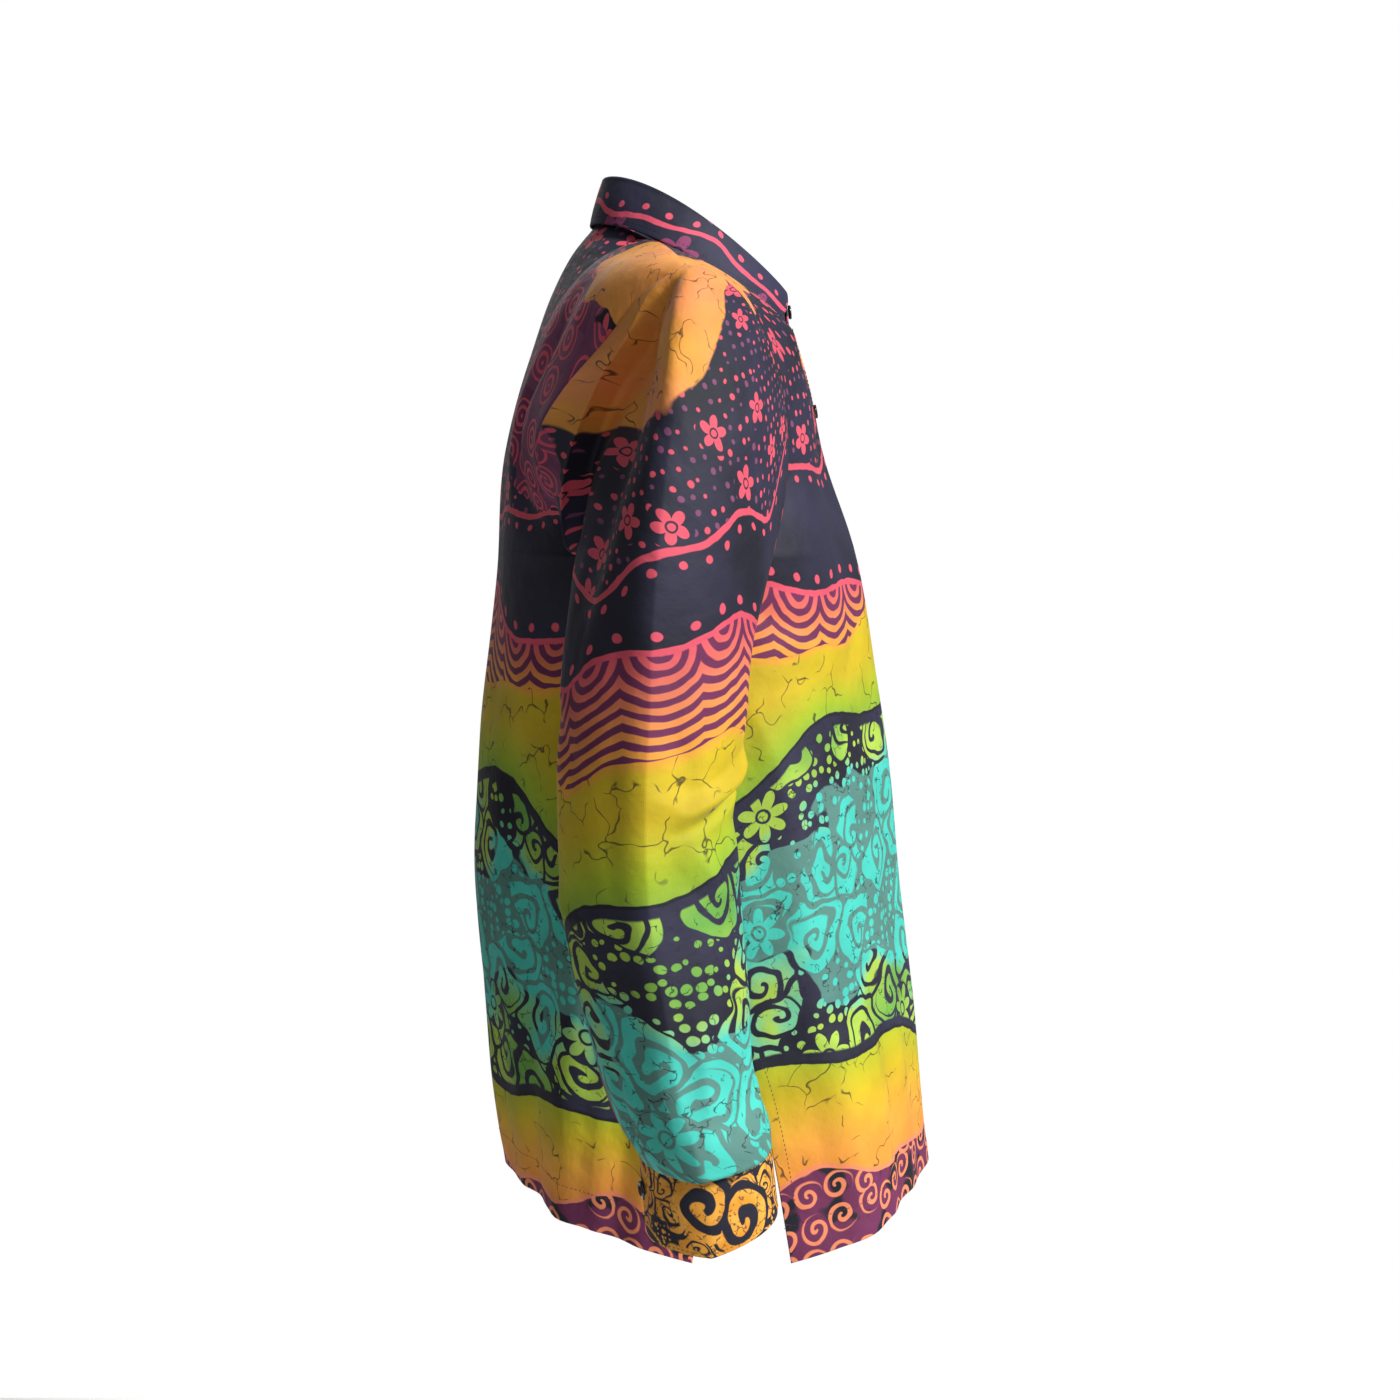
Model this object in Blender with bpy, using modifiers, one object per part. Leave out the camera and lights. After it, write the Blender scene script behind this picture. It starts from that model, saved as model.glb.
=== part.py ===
"""A long-sleeved batik shirt in the form it has when worn.

Metres, +Z up. The wearer faces -Y, so the wearer's right is -X. The origin is the middle of the
neck base, level with the side neck points, where the neck and shoulders carry the shirt.

Every piece is a strip, panel or tube of cloth. Its outer face is a grid of points worked out from
the sizes below, and its wall is that face thickened inwards. A panel's grid has a column value u
from its centre edge (0) to its side edge (1), and a row value w that is 0 at the hem, 1 at the
underarm and 2 at the shoulder seam.
"""
import math

import bmesh
import bpy
import numpy as np
from mathutils import Vector

# Cloth and seams
WALL = 0.0015
BAND_WALL = 0.0018
SEAM_GAP = 0.0003
# How far the cloth turns at its seams, in degrees; a sharper turn needs a larger allowance
SIDE_TURNS = ((0.0, 10.0), (1.0, 45.0), (1.1, 75.0), (1.4, 75.0), (2.0, 70.0))   # row, turn
SHOULDER_TURN = 60.0
NECKLINE_TURN = 80.0
SLEEVE_HEAD_TURN = 78.0

# Heights of the body
FRONT_HEM_Z = -0.705
BACK_HEM_Z = -0.702
HEM_SIDE_Z = -0.741
UNDERARM_Z = -0.235

# Centre lines of the body seen from the side: height, y
FRONT_LINE = (
    (-0.717, -0.184), (-0.610, -0.175), (-0.464, -0.158), (-0.320, -0.1385),
    (-0.225, -0.1205), (-0.155, -0.1005), (-0.108, -0.0915), (-0.062, -0.0780),
)
BACK_LINE = (
    (-0.717, 0.1425), (-0.610, 0.1575), (-0.490, 0.1700), (-0.370, 0.164), (-0.250, 0.150),
    (-0.155, 0.142), (-0.085, 0.1235), (-0.035, 0.106), (0.002, 0.0855), (0.022, 0.070),
)
# Side seams of the body: height, half width, y
SIDE_LINE = (
    (-0.742, 0.200, -0.038), (-0.575, 0.197, -0.034), (-0.400, 0.195, -0.012),
    (-0.290, 0.197, 0.004), (-0.235, 0.207, 0.012),
)
VENT_TOP_Z = -0.585
VENT_HALF_OPENING = 0.0355     # at the hem
VENT_CURVE = 0.62           # below 1 it opens fastest at its top
SIDE_ROUNDNESS = 0.84      # below 1 the body's corners are squarer than an ellipse's
LEAST_TURN = 42.0          # of a row round the body, in degrees

# Neck seam, a tilted oval round the neck base; an angle of 0 is its back and 180 its front
NECK_HALF_WIDTH = 0.064
NECK_BACK = (0.070, 0.022)
NECK_FRONT = (-0.078, -0.062)
NECK_SLOPE = 1.12
SHOULDER_ANGLE = 62.0

# Shoulder and armhole
SHOULDER_TIP = (0.215, -0.001, -0.035)
SHOULDER_BOW = 0.004
SHOULDER_PULL = 7.0                     # the higher, the squarer the cloth turns over the shoulder
ARMHOLE_X = (0.207, 0.179, 0.215)       # at the underarm, half way up and at the shoulder tip
ARMHOLE_REACH_FRONT = 0.067
ARMHOLE_BACK = (                        # share of its rise from the underarm, y
    (0.0, 0.012), (0.12, 0.041), (0.24, 0.078), (0.348, 0.102), (0.418, 0.107), (0.484, 0.103),
    (0.543, 0.0915), (0.64, 0.067), (0.79, 0.036), (0.90, 0.015), (1.0, -0.001),
)

# Rows and columns of the panels
ROWS_BELOW = 16
ROWS_ABOVE = 10
FRONT_NECK_ROW = 1.5
NECKLINE_CROWDING = 1.5    # above 1 the fronts' rows lie closer towards the centre front
NECK_DIP = 0.0012          # of the fronts' straight ends below the neck seam
HALF_COLUMNS = 14
NECK_COLUMNS = 4
COLUMN_CROWDING = 1.35     # above 1 the columns lie closer towards the side

# Folds of the panels: u at the hem side, u at the neck side, half width towards the centre, half
# width towards the side, lowest row, highest row, height (a trough is below 0)
BACK_FOLDS = (
    (0.66, 0.60, 0.13, 0.14, 0.90, 2.00, -0.008),
    (0.52, 0.46, 0.08, 0.08, -0.60, 1.00, -0.0060),
    (0.66, 0.60, 0.08, 0.08, -0.60, 0.95, 0.0070),
    (0.82, 0.76, 0.08, 0.08, -0.60, 0.90, -0.0060),
    (0.26, 0.24, 0.10, 0.10, -0.60, 0.80, 0.0040),
)
FRONT_FOLDS = (
    (0.22, 0.24, 0.14, 0.16, -0.90, 1.20, 0.0065),
    (0.24, 0.26, 0.16, 0.18, 0.30, 1.60, 0.0060),
    (0.52, 0.56, 0.10, 0.10, -0.60, 1.00, -0.0050),
    (0.74, 0.80, 0.11, 0.11, -0.60, 1.05, 0.0060),
    (0.55, 0.62, 0.34, 0.28, 0.70, 2.05, 0.0070),
)

# Front edges and band
RIGHT_FRONT_EDGE_X = 0.0138
LEFT_FRONT_EDGE_X = 0.0141
BAND_HALF_WIDTH = 0.0165
BAND_COLUMNS = 2

# Sleeve: height, axis x, axis y, half width, half depth, tilt in degrees (front edge up), and how
# far its pressed outer edge stands out and hangs down
SLEEVE_RINGS = (
    (-0.330, 0.270, 0.0240, 0.0500, 0.0620, 0.0, 0.000, 0.0000),
    (-0.395, 0.275, 0.0272, 0.0480, 0.0608, 0.0, 0.000, 0.0000),
    (-0.462, 0.280, 0.0245, 0.0460, 0.0602, 4.0, 0.000, 0.0000),
    (-0.529, 0.284, 0.0140, 0.0440, 0.0555, 8.0, 0.001, 0.0005),
    (-0.594, 0.287, 0.0020, 0.0420, 0.0490, 6.0, 0.003, 0.0025),
    (-0.614, 0.288, -0.0060, 0.0430, 0.0490, 3.0, 0.005, 0.0045),
    (-0.6287, 0.288, -0.0110, 0.0390, 0.0455, 0.5, 0.007, 0.0060),
)
OUTER_EDGE_SPAN = 90.0      # degrees to each side over which that edge fades
CAP_STEPS = (0.0, 0.15, 0.30, 0.36, 0.42, 0.48, 0.56, 0.65, 0.74, 0.83, 0.92, 1.0)
CAP_EDGE_STEP = 0.30        # the step that lies on the roll's edge
CAP_FOLD_STEP = 0.42        # the step that lies in the fold under it
CAP_FULLNESS = 0.36
# The way that the cloth leaves the armhole: middle, and how much the outer side differs
CAP_OUT = (0.70, 0.20)
CAP_DOWN = (-0.58, 0.18)
CAP_FORWARD_FRONT = 0.25
CAP_FORWARD_BACK = 0.90
CAP_DEPTH = 0.375           # of the sleeve's length, as the folds count it
CAP_CROWDING = 0.8
SLEEVE_ROWS = 15
SLEEVE_COLUMNS = 24
ELBOW_Z = -0.405
ELBOW_SLANT = 0.012
ELBOW_SPREAD = 0.014
ELBOW_PINCH = 0.007

# Folds of the sleeve, as of the panels, with u from the underarm seam round by the back to the
# front and rows from the armhole (0) to the cuff (1)
SLEEVE_FOLDS = (
    (0.50, 0.48, 0.055, 0.055, -0.40, 1.45, 0.0040),
    (0.40, 0.30, 0.060, 0.070, 0.02, 0.42, -0.0050),
    (0.72, 0.76, 0.060, 0.060, 0.10, 0.50, 0.0030),
)

# Roll of the sleeve's fullness behind the armhole, its places round the sleeve as for the folds
ROLL_FIRST = 0.112
ROLL_LAST = 0.495
ROLL_SKEW = 0.72            # below 1 it is fullest low down
ROLL_EDGE = (               # place round the sleeve, distance of the roll's edge from the seam
    (0.0, 0.006), (0.112, 0.010), (0.135, 0.030), (0.17, 0.043), (0.21, 0.043), (0.24, 0.035),
    (0.27, 0.025), (0.32, 0.013), (0.40, 0.009), (0.495, 0.005), (1.0, 0.005),
)
LEAST_ROLL_EDGE = 0.012
ROLL_HEIGHT = 0.010
ROLL_ROUNDNESS = 0.8
ROLL_DEPTH = 0.015
ROLL_LEAN = 0.008
ROLL_LEAN_LOW = 0.9         # how much more of it there is at the low end, as a share
ROLL_FALL = ((0.0, 1.0), (0.012, -1.0), (0.026, -0.75), (0.045, -0.25), (0.075, 0.0))
FOLD_DISTANCE = 0.012       # of the fold's middle past the roll's edge

# Cuff
CUFF_TOP = (-0.6290, 0.288, -0.0115, 0.0380, 0.0450, 0.5, 0.007, 0.006)      # as SLEEVE_RINGS
CUFF_BOTTOM = (-0.6785, 0.288, -0.0160, 0.0345, 0.0455, 7.5, 0.008, 0.0135)
CUFF_OPENING = 274.0        # where its upper end lies, in degrees round the wrist
CUFF_OVERLAP = 26.0
CUFF_COLUMNS = 28
CUFF_ROWS = 3
CUFF_BUTTON_SHARE = 0.42    # of the way down

# Collar
STAND_BELOW_FOLD = 0.0040
FOLD_HALF_WIDTH = 0.058
FOLD_BACK = (0.066, 0.054)
FOLD_FRONT = (-0.075, -0.034)
FOLD_SLOPE = 1.48
EDGE_HALF_WIDTH = 0.077
EDGE_BACK = (0.078, 0.017)
EDGE_FRONT = (-0.080, -0.061)
EDGE_SLOPE = 1.40
FOLD_END_ANGLE = 168.0
EDGE_END_ANGLE = 152.0
COLLAR_COLUMNS = 32
STAND_ROWS = 2
STAND_LAP = 8.0             # degrees past the centre front at each end
STAND_LIFT = 0.0006
TUCK_START = 1.9            # where a lapped end steps in and how long the step is, in laps
TUCK_LENGTH = 0.8
LEAF_ROWS = 4
LEAF_BULGE = 0.0012
# The leaf's roll over the fold: distance out from the stand's outer face, height over the fold
LEAF_ROLL = (
    (-0.0018, -0.0030), (-0.0014, -0.0010), (0.0002, 0.0), (0.0018, -0.0008), (0.0026, -0.0030),
)

# Buttons
BUTTON_RADIUS = 0.0056
BUTTON_THICKNESS = 0.0024
BUTTON_SIDES = 20
FRONT_BUTTONS = 6
FIRST_BUTTON_Z = -0.125
LAST_BUTTON_Z = -0.590

COLLECTION = "batik_shirt"


def through(table, positions):
    """Values of a smooth curve through a table's rows, whose first column is the position."""
    rows = np.array(sorted(table))
    x, y = rows[:, 0], rows[:, 1:]
    slopes = np.gradient(y, x, axis=0)
    at = np.clip(np.atleast_1d(positions), x[0], x[-1])
    i = np.clip(np.searchsorted(x, at, side="right") - 1, 0, len(x) - 2)
    step = (x[i + 1] - x[i])[:, None]
    t = (at - x[i])[:, None] / step
    return ((2 * t**3 - 3 * t**2 + 1) * y[i] + (t**3 - 2 * t**2 + t) * step * slopes[i]
            + (3 * t**2 - 2 * t**3) * y[i + 1] + (t**3 - t**2) * step * slopes[i + 1])


def ease(t):
    """A smooth 0 to 1 step."""
    t = np.clip(t, 0.0, 1.0)
    return t * t * (3.0 - 2.0 * t)


def tilted_oval(angle, half_width, back, front, slope):
    """A point on an oval round the neck; back and front are its y and z there."""
    turn = np.radians(np.atleast_1d(angle))
    share = (1.0 - np.cos(turn)) / 2.0
    return np.stack([half_width * np.sin(turn),
                     back[0] + (front[0] - back[0]) * share,
                     back[1] + (front[1] - back[1]) * share**slope], axis=-1)


def neck_seam(angle):
    return tilted_oval(angle, NECK_HALF_WIDTH, NECK_BACK, NECK_FRONT, NECK_SLOPE)


def shoulder_seam(share):
    """The wearer's left shoulder seam, from the side neck point (0) to the shoulder tip (1)."""
    share = np.atleast_1d(share)[:, None]
    start, end = neck_seam(SHOULDER_ANGLE)[0], np.array(SHOULDER_TIP)
    bow = np.array([0.0, 0.0, SHOULDER_BOW]) * np.sin(math.pi * share)
    return start + (end - start) * share + bow


def armhole(rise, y):
    """The wearer's left armhole; rise is 0 at the underarm and 1 at the shoulder tip."""
    low, middle, high = ARMHOLE_X
    swing = np.cos(math.pi * rise)
    x = middle + ((low + high) / 2.0 - middle) * swing**2 - (high - low) / 2.0 * swing
    z = (UNDERARM_Z + SHOULDER_TIP[2]) / 2.0 - (SHOULDER_TIP[2] - UNDERARM_Z) / 2.0 * swing
    return np.stack([x, y, z], axis=-1)


def front_armhole(rise):
    rise = np.atleast_1d(rise)
    y_low = through(SIDE_LINE, UNDERARM_Z)[0, 1]
    y = y_low + (SHOULDER_TIP[1] - y_low) * rise - ARMHOLE_REACH_FRONT * np.sin(math.pi * rise)
    return armhole(rise, y)


def back_armhole(rise):
    rise = np.atleast_1d(rise)
    return armhole(rise, through(ARMHOLE_BACK, rise)[:, 0])


def side_edge(w, facing, armhole_of):
    """The side end of a panel's row w: the side seam and vent up to 1, the armhole above.

    facing is -1 for a front and 1 for the back, the way the panel's vent edge swings open.
    """
    if w > 1.0:
        return armhole_of(w - 1.0)[0]
    z = HEM_SIDE_Z + (UNDERARM_Z - HEM_SIDE_Z) * w
    half_width, y = through(SIDE_LINE, z)[0]
    below_vent = np.clip((VENT_TOP_Z - z) / (VENT_TOP_Z - HEM_SIDE_Z), 0.0, 1.0)
    opening = VENT_HALF_OPENING * below_vent ** VENT_CURVE
    return np.array([half_width, y + facing * opening, z])


def back_centre(w):
    z = np.interp(w, (0.0, 1.0, 2.0), (BACK_HEM_Z, UNDERARM_Z, NECK_BACK[1]))
    return np.array([0.0, through(BACK_LINE, z)[0, 0], z])


def front_centre(w):
    """The centre end of a front's row w: the centre line, then the neckline above the neck row."""
    if w > FRONT_NECK_ROW:
        share = ((w - FRONT_NECK_ROW) / (2.0 - FRONT_NECK_ROW)) ** NECKLINE_CROWDING
        return neck_seam(180.0 + (SHOULDER_ANGLE - 180.0) * share)[0]
    z = np.interp(w, (0.0, 1.0, FRONT_NECK_ROW), (FRONT_HEM_Z, UNDERARM_Z, NECK_FRONT[1]))
    return np.array([0.0, through(FRONT_LINE, z)[0, 0], z])


def rounded_row(start, end, turn, roundness, columns):
    """Points from start to end, evenly spaced, along a level arc that turns by turn degrees."""
    swing = np.linspace(0.0, math.radians(turn), 120)
    full_turn = swing[-1]
    along = (np.sin(swing) / math.sin(full_turn)) ** roundness
    rest = math.cos(full_turn) ** roundness if turn < 89.0 else 0.0
    down = (1.0 - np.maximum(np.cos(swing), 0.0) ** roundness) / (1.0 - rest)
    x = start[0] + (end[0] - start[0]) * along
    y = start[1] + (end[1] - start[1]) * down
    length = np.concatenate([[0.0], np.cumsum(np.hypot(np.diff(x), np.diff(y)))])
    share = length / length[-1]
    z = start[2] + (end[2] - start[2]) * np.asarray(columns) ** 2
    return np.stack([np.interp(columns, share, x), np.interp(columns, share, y), z], axis=-1)


def outward(points):
    """Unit normals of a grid of points, on the side of du x dw."""
    across = np.gradient(points, axis=1)
    along = np.gradient(points, axis=0)
    normal = np.cross(across, along)
    return normal / np.linalg.norm(normal, axis=-1, keepdims=True)


def fold_heights(folds, u, w):
    """The folds' height at each row w and column u."""
    height = np.zeros((len(w), len(u)))
    for low_u, high_u, inner, outer, low_w, high_w, depth in folds:
        rise = np.clip((w - low_w) / (high_w - low_w), 0.0, 1.0)[:, None]
        away = u[None, :] - (low_u + (high_u - low_u) * rise)
        reach = np.where(away < 0.0, inner, outer)
        hump = np.cos(np.clip(away / reach, -1.0, 1.0) * math.pi / 2.0) ** 2
        height += depth * hump * np.sin(math.pi * rise) ** 2
    return height


def panel_columns():
    return 1.0 - np.linspace(1.0, 0.0, HALF_COLUMNS + 1) ** COLUMN_CROWDING


def panel_rows():
    below = np.linspace(0.0, 1.0, ROWS_BELOW + 1)
    above = np.linspace(1.0, 2.0, ROWS_ABOVE + 1)
    return np.concatenate([below, above[1:]])


def back_top():
    """The back's top row from its centre: half the back neckline, then the shoulder seam."""
    columns = panel_columns()
    corner = columns[NECK_COLUMNS]
    neckline = neck_seam(SHOULDER_ANGLE * columns[:NECK_COLUMNS] / corner)
    seam = shoulder_seam((columns[NECK_COLUMNS:] - corner) / (1.0 - corner))
    return np.concatenate([neckline, seam])


def panel(centre_of, armhole_of, facing, top, folds):
    """The wearer's left half of a panel as rows of points, from its centre to its side."""
    columns = panel_columns()
    levels = panel_rows()
    seam_y = through(SIDE_LINE, UNDERARM_Z)[0, 1]
    grid = []
    for w in levels:
        start, end = centre_of(w), side_edge(w, facing, armhole_of)
        turn = 90.0
        if w > 1.0:
            left = np.clip((end[1] - seam_y) / (start[1] - seam_y), 0.0, 1.0)
            turn = max(LEAST_TURN, math.degrees(math.acos(left ** (1.0 / SIDE_ROUNDNESS))))
        roundness = SIDE_ROUNDNESS + (1.0 - SIDE_ROUNDNESS) * float(ease(w - 1.0))
        grid.append(rounded_row(start, end, turn, roundness, columns))
    grid = np.array(grid)
    pull = np.clip((levels - 1.0), 0.0, 1.0) ** SHOULDER_PULL
    grid += pull[:, None, None] * (top - grid[-1])
    lift = fold_heights(folds, columns, levels)
    normal = outward(grid)
    if normal[0, 0, 1] * grid[0, 0, 1] < 0.0:
        normal = -normal
    return grid + normal * lift[:, :, None]


def back_half():
    return panel(back_centre, back_armhole, 1.0, back_top(), BACK_FOLDS)


def front_half():
    top = shoulder_seam(panel_columns())
    return panel(front_centre, front_armhole, -1.0, top, FRONT_FOLDS)


def draw_in(points, first=0.0, last=0.0, axis=1):
    """Move a grid's first and last lines along the cloth, towards their neighbours."""
    moved = np.array(points)
    lines = np.moveaxis(moved, axis, 0)
    for end, neighbour, distance in ((0, 1, first), (-1, -2, last)):
        step = lines[neighbour] - lines[end]
        lines[end] += step / np.linalg.norm(step, axis=-1, keepdims=True) * distance
    return moved


def seam_allowance(turn):
    """How far a wall stops short of its seam line, where the cloth turns by turn degrees."""
    return SEAM_GAP / 2.0 + WALL * math.tan(math.radians(turn / 2.0))


def material(name, colour, roughness):
    made = bpy.data.materials.new(name)
    made.use_nodes = True
    shader = made.node_tree.nodes["Principled BSDF"]
    shader.inputs["Base Color"].default_value = (*colour, 1.0)
    shader.inputs["Roughness"].default_value = roughness
    shader.inputs["Metallic"].default_value = 0.0
    made.diffuse_color = (*colour, 1.0)
    return made


def cloth(name, points, wall, finish, closed=False):
    """A wall of cloth with the given outer face, thickened inwards. Rows run along axis 0."""
    rows, columns = points.shape[:2]
    mesh_data = bmesh.new()
    bmesh.ops.create_grid(mesh_data, x_segments=columns - 1, y_segments=rows - 1, size=1.0)
    for vert in mesh_data.verts:
        column = round((vert.co.x + 1.0) / 2.0 * (columns - 1))
        row = round((vert.co.y + 1.0) / 2.0 * (rows - 1))
        vert.co = Vector(points[row, column])
    if closed:
        bmesh.ops.remove_doubles(mesh_data, verts=mesh_data.verts, dist=0.00001)
    for face in mesh_data.faces:
        face.smooth = True
    mesh = bpy.data.meshes.new(name)
    mesh_data.to_mesh(mesh)
    mesh_data.free()
    piece = bpy.data.objects.new(name, mesh)
    bpy.data.collections[COLLECTION].objects.link(piece)
    mesh.materials.append(finish)
    solid = piece.modifiers.new("wall", "SOLIDIFY")
    solid.thickness = wall
    solid.offset = -1.0
    return piece


def mirrored(points):
    """The wearer's right copy of a left piece, with its columns turned round to face outwards."""
    return points[:, ::-1] * np.array([-1.0, 1.0, 1.0])


def trim_side(half):
    """Trim a panel's side to its allowances along the side seam and the armhole."""
    turns = np.interp(panel_rows(), *zip(*SIDE_TURNS))
    return draw_in(half, last=np.array([seam_allowance(turn) for turn in turns])[:, None])


def build_back(finish):
    half = draw_in(trim_side(back_half()), last=seam_allowance(SHOULDER_TURN), axis=0)
    whole = np.concatenate([half[:, ::-1], mirrored(half)[:, ::-1][:, 1:]], axis=1)
    cloth("back", whole, WALL, finish)


def front_panel(edge_x):
    """A front from edge_x past the centre line to its side seam, as a wearer's left piece."""
    half = front_half()
    neck_row = ROWS_BELOW + round((FRONT_NECK_ROW - 1.0) * ROWS_ABOVE)
    for row in range(neck_row + 1):
        half[row, 0, 0] = edge_x
    half[neck_row, 0, 2] -= NECK_DIP
    half[neck_row + 1:] = draw_in(half, first=seam_allowance(NECKLINE_TURN))[neck_row + 1:]
    return draw_in(trim_side(half), last=seam_allowance(SHOULDER_TURN), axis=0)


def build_fronts(finish):
    cloth("front_left", front_panel(LEFT_FRONT_EDGE_X), WALL, finish)
    cloth("front_right", mirrored(front_panel(-RIGHT_FRONT_EDGE_X)), WALL, finish)


def ring_point(ring, angle, tuck=0.0):
    """Points of a ring with SLEEVE_RINGS' columns: 0 degrees is away from the body, 90 the front."""
    z, axis_x, axis_y, half_width, half_depth, tilt, point, hang = ring
    turn = np.radians(angle)
    front = np.sin(turn)
    away = np.abs((np.asarray(angle) + 180.0) % 360.0 - 180.0)
    edge = np.clip(1.0 - away / OUTER_EDGE_SPAN, 0.0, 1.0)
    return np.stack([axis_x + (half_width - tuck) * np.cos(turn) + point * edge,
                     axis_y - (half_depth - tuck) * front,
                     z + half_depth * front * math.tan(math.radians(tilt)) - hang * edge], axis=-1)


def sleeve_ring(z, angle):
    return ring_point((z, *through(SLEEVE_RINGS, z)[0]), angle)


def cuff_ring(share):
    """The cuff's ring at a share of the way down."""
    top, bottom = np.array(CUFF_TOP), np.array(CUFF_BOTTOM)
    return top + (bottom - top) * share


def sleeve_head(angle):
    """The armhole's point at each angle of the sleeve."""
    angle = np.asarray(angle) % 360.0
    front = front_armhole(1.0 - np.clip(angle / 180.0, 0.0, 1.0))
    back = back_armhole(np.clip(angle / 180.0 - 1.0, 0.0, 1.0))
    return np.where((angle <= 180.0)[:, None], front, back)


def roll_edge(around):
    return np.interp(around, *zip(*ROLL_EDGE))


def roll_shape(down, around):
    """The roll's height along the normal and its lean down the cloth, down being from the seam."""
    share = np.clip((around - ROLL_FIRST) / (ROLL_LAST - ROLL_FIRST), 0.0, 1.0)[None, :]
    swell, edge = np.sin(math.pi * share**ROLL_SKEW), roll_edge(around)[None, :]
    past = np.interp(down - edge, *zip(*ROLL_FALL))
    past = np.where(past < 0.0, past * ROLL_DEPTH, past * ROLL_HEIGHT)
    rise = np.clip(down / edge, 0.0, 1.0) ** ROLL_ROUNDNESS
    height = np.where(down < edge, ROLL_HEIGHT * rise, past)
    fall = np.where(down < edge, edge, FOLD_DISTANCE)
    tip = np.clip(1.0 - np.abs(down - edge) / fall, 0.0, 1.0)
    lean = ROLL_LEAN * (1.0 + ROLL_LEAN_LOW * (1.0 - share))
    return height * swell, tip * lean * swell


def sleeve_cap(step, angle):
    """The sleeve from the armhole (0) to its first ring (1): a curve at each angle."""
    turn = np.radians(angle)
    head, ring = sleeve_head(angle), sleeve_ring(SLEEVE_RINGS[0][0], angle)
    span = np.linalg.norm(ring - head, axis=-1, keepdims=True)
    first = np.maximum(roll_edge((angle - 180.0) / 360.0), LEAST_ROLL_EDGE)[:, None]
    leave_speed = 3.0 * CAP_FULLNESS * span
    edge, fold = first / leave_speed, (first + FOLD_DISTANCE) / leave_speed
    share = np.where(step < CAP_EDGE_STEP, edge * step / CAP_EDGE_STEP,
                     edge + (fold - edge) * (step - CAP_EDGE_STEP) / (CAP_FOLD_STEP - CAP_EDGE_STEP))
    beyond = (step - CAP_FOLD_STEP) / (1.0 - CAP_FOLD_STEP)
    share = np.where(step > CAP_FOLD_STEP, fold + (1.0 - fold) * beyond, share)
    forward = -CAP_FORWARD_FRONT * np.maximum(np.sin(turn), 0.0)
    forward -= CAP_FORWARD_BACK * np.maximum(-np.sin(turn), 0.0) ** 2
    out, down = (middle + more * np.cos(turn) for middle, more in (CAP_OUT, CAP_DOWN))
    leave = np.stack([out, forward, down], axis=-1)
    leave /= np.linalg.norm(leave, axis=-1, keepdims=True)
    reach = span * CAP_FULLNESS
    handles = (head, head + leave * reach, ring + np.array([0.0, 0.0, 1.0]) * reach, ring)
    weights = ((1 - share)**3, 3 * share * (1 - share)**2, 3 * share**2 * (1 - share), share**3)
    return sum(weight * handle for weight, handle in zip(weights, handles))


def sleeve_points():
    """The wearer's left sleeve. Rows run down to the cuff, columns start at the underarm seam."""
    around = np.linspace(0.0, 1.0, SLEEVE_COLUMNS + 1)
    angle = 180.0 + 360.0 * around
    cap = [sleeve_cap(step, angle) for step in CAP_STEPS]
    heights = np.linspace(SLEEVE_RINGS[0][0], SLEEVE_RINGS[-1][0], SLEEVE_ROWS + 1)[1:]
    rows = np.array(cap + [sleeve_ring(z, angle) for z in heights])
    depth = np.linspace(CAP_DEPTH, 1.0, SLEEVE_ROWS + 1)[1:]
    depth = np.concatenate([np.array(CAP_STEPS) ** CAP_CROWDING * CAP_DEPTH, depth])
    lift = fold_heights(SLEEVE_FOLDS, around, depth)
    step = np.linalg.norm(np.diff(rows, axis=0), axis=-1)
    down = np.concatenate([np.zeros((1, len(around))), np.cumsum(step, axis=0)])
    height, lean = roll_shape(down, around)
    lift += height
    lift[:, -1] = lift[:, 0]
    pinch_z = ELBOW_Z - ELBOW_SLANT * np.cos(np.radians(angle))[None, :]
    pinch = np.exp(-((rows[:, :, 2] - pinch_z) / ELBOW_SPREAD) ** 2)
    lift -= ELBOW_PINCH * pinch * np.clip(np.sin(np.radians(angle)), 0.0, 1.0)[None, :]
    normal = outward(rows)
    normal[:, 0] = normal[:, -1] = (normal[:, 0] + normal[:, -1]) / 2.0
    along = np.gradient(rows, axis=0)
    along /= np.linalg.norm(along, axis=-1, keepdims=True)
    return rows + normal * lift[:, :, None] + along * lean[:, :, None]


def lapped(angle, lap, step_in):
    """How far a band's far end tucks in under its near end, over the last lap degrees."""
    return step_in * ease((angle - (angle[-1] - lap * TUCK_START)) / (lap * TUCK_LENGTH))


def cuff_points():
    angle = np.linspace(CUFF_OPENING, CUFF_OPENING + 360.0 + CUFF_OVERLAP, CUFF_COLUMNS + 1)
    tuck = lapped(angle, CUFF_OVERLAP, BAND_WALL + 2.0 * SEAM_GAP)
    return np.array([ring_point(cuff_ring(share), angle, tuck)
                     for share in np.linspace(0.0, 1.0, CUFF_ROWS + 1)])


def fold_line(angle):
    return tilted_oval(angle, FOLD_HALF_WIDTH, FOLD_BACK, FOLD_FRONT, FOLD_SLOPE)


def leaf_edge(angle):
    return tilted_oval(angle, EDGE_HALF_WIDTH, EDGE_BACK, EDGE_FRONT, EDGE_SLOPE)


def oval_outward(angle, half_width, half_depth):
    """Level unit vectors pointing out of an oval round the neck."""
    turn = np.radians(angle)
    out = np.stack([np.sin(turn) / half_width, np.cos(turn) / half_depth,
                    np.zeros_like(turn)], axis=-1)
    return out / np.linalg.norm(out, axis=-1, keepdims=True)


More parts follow.
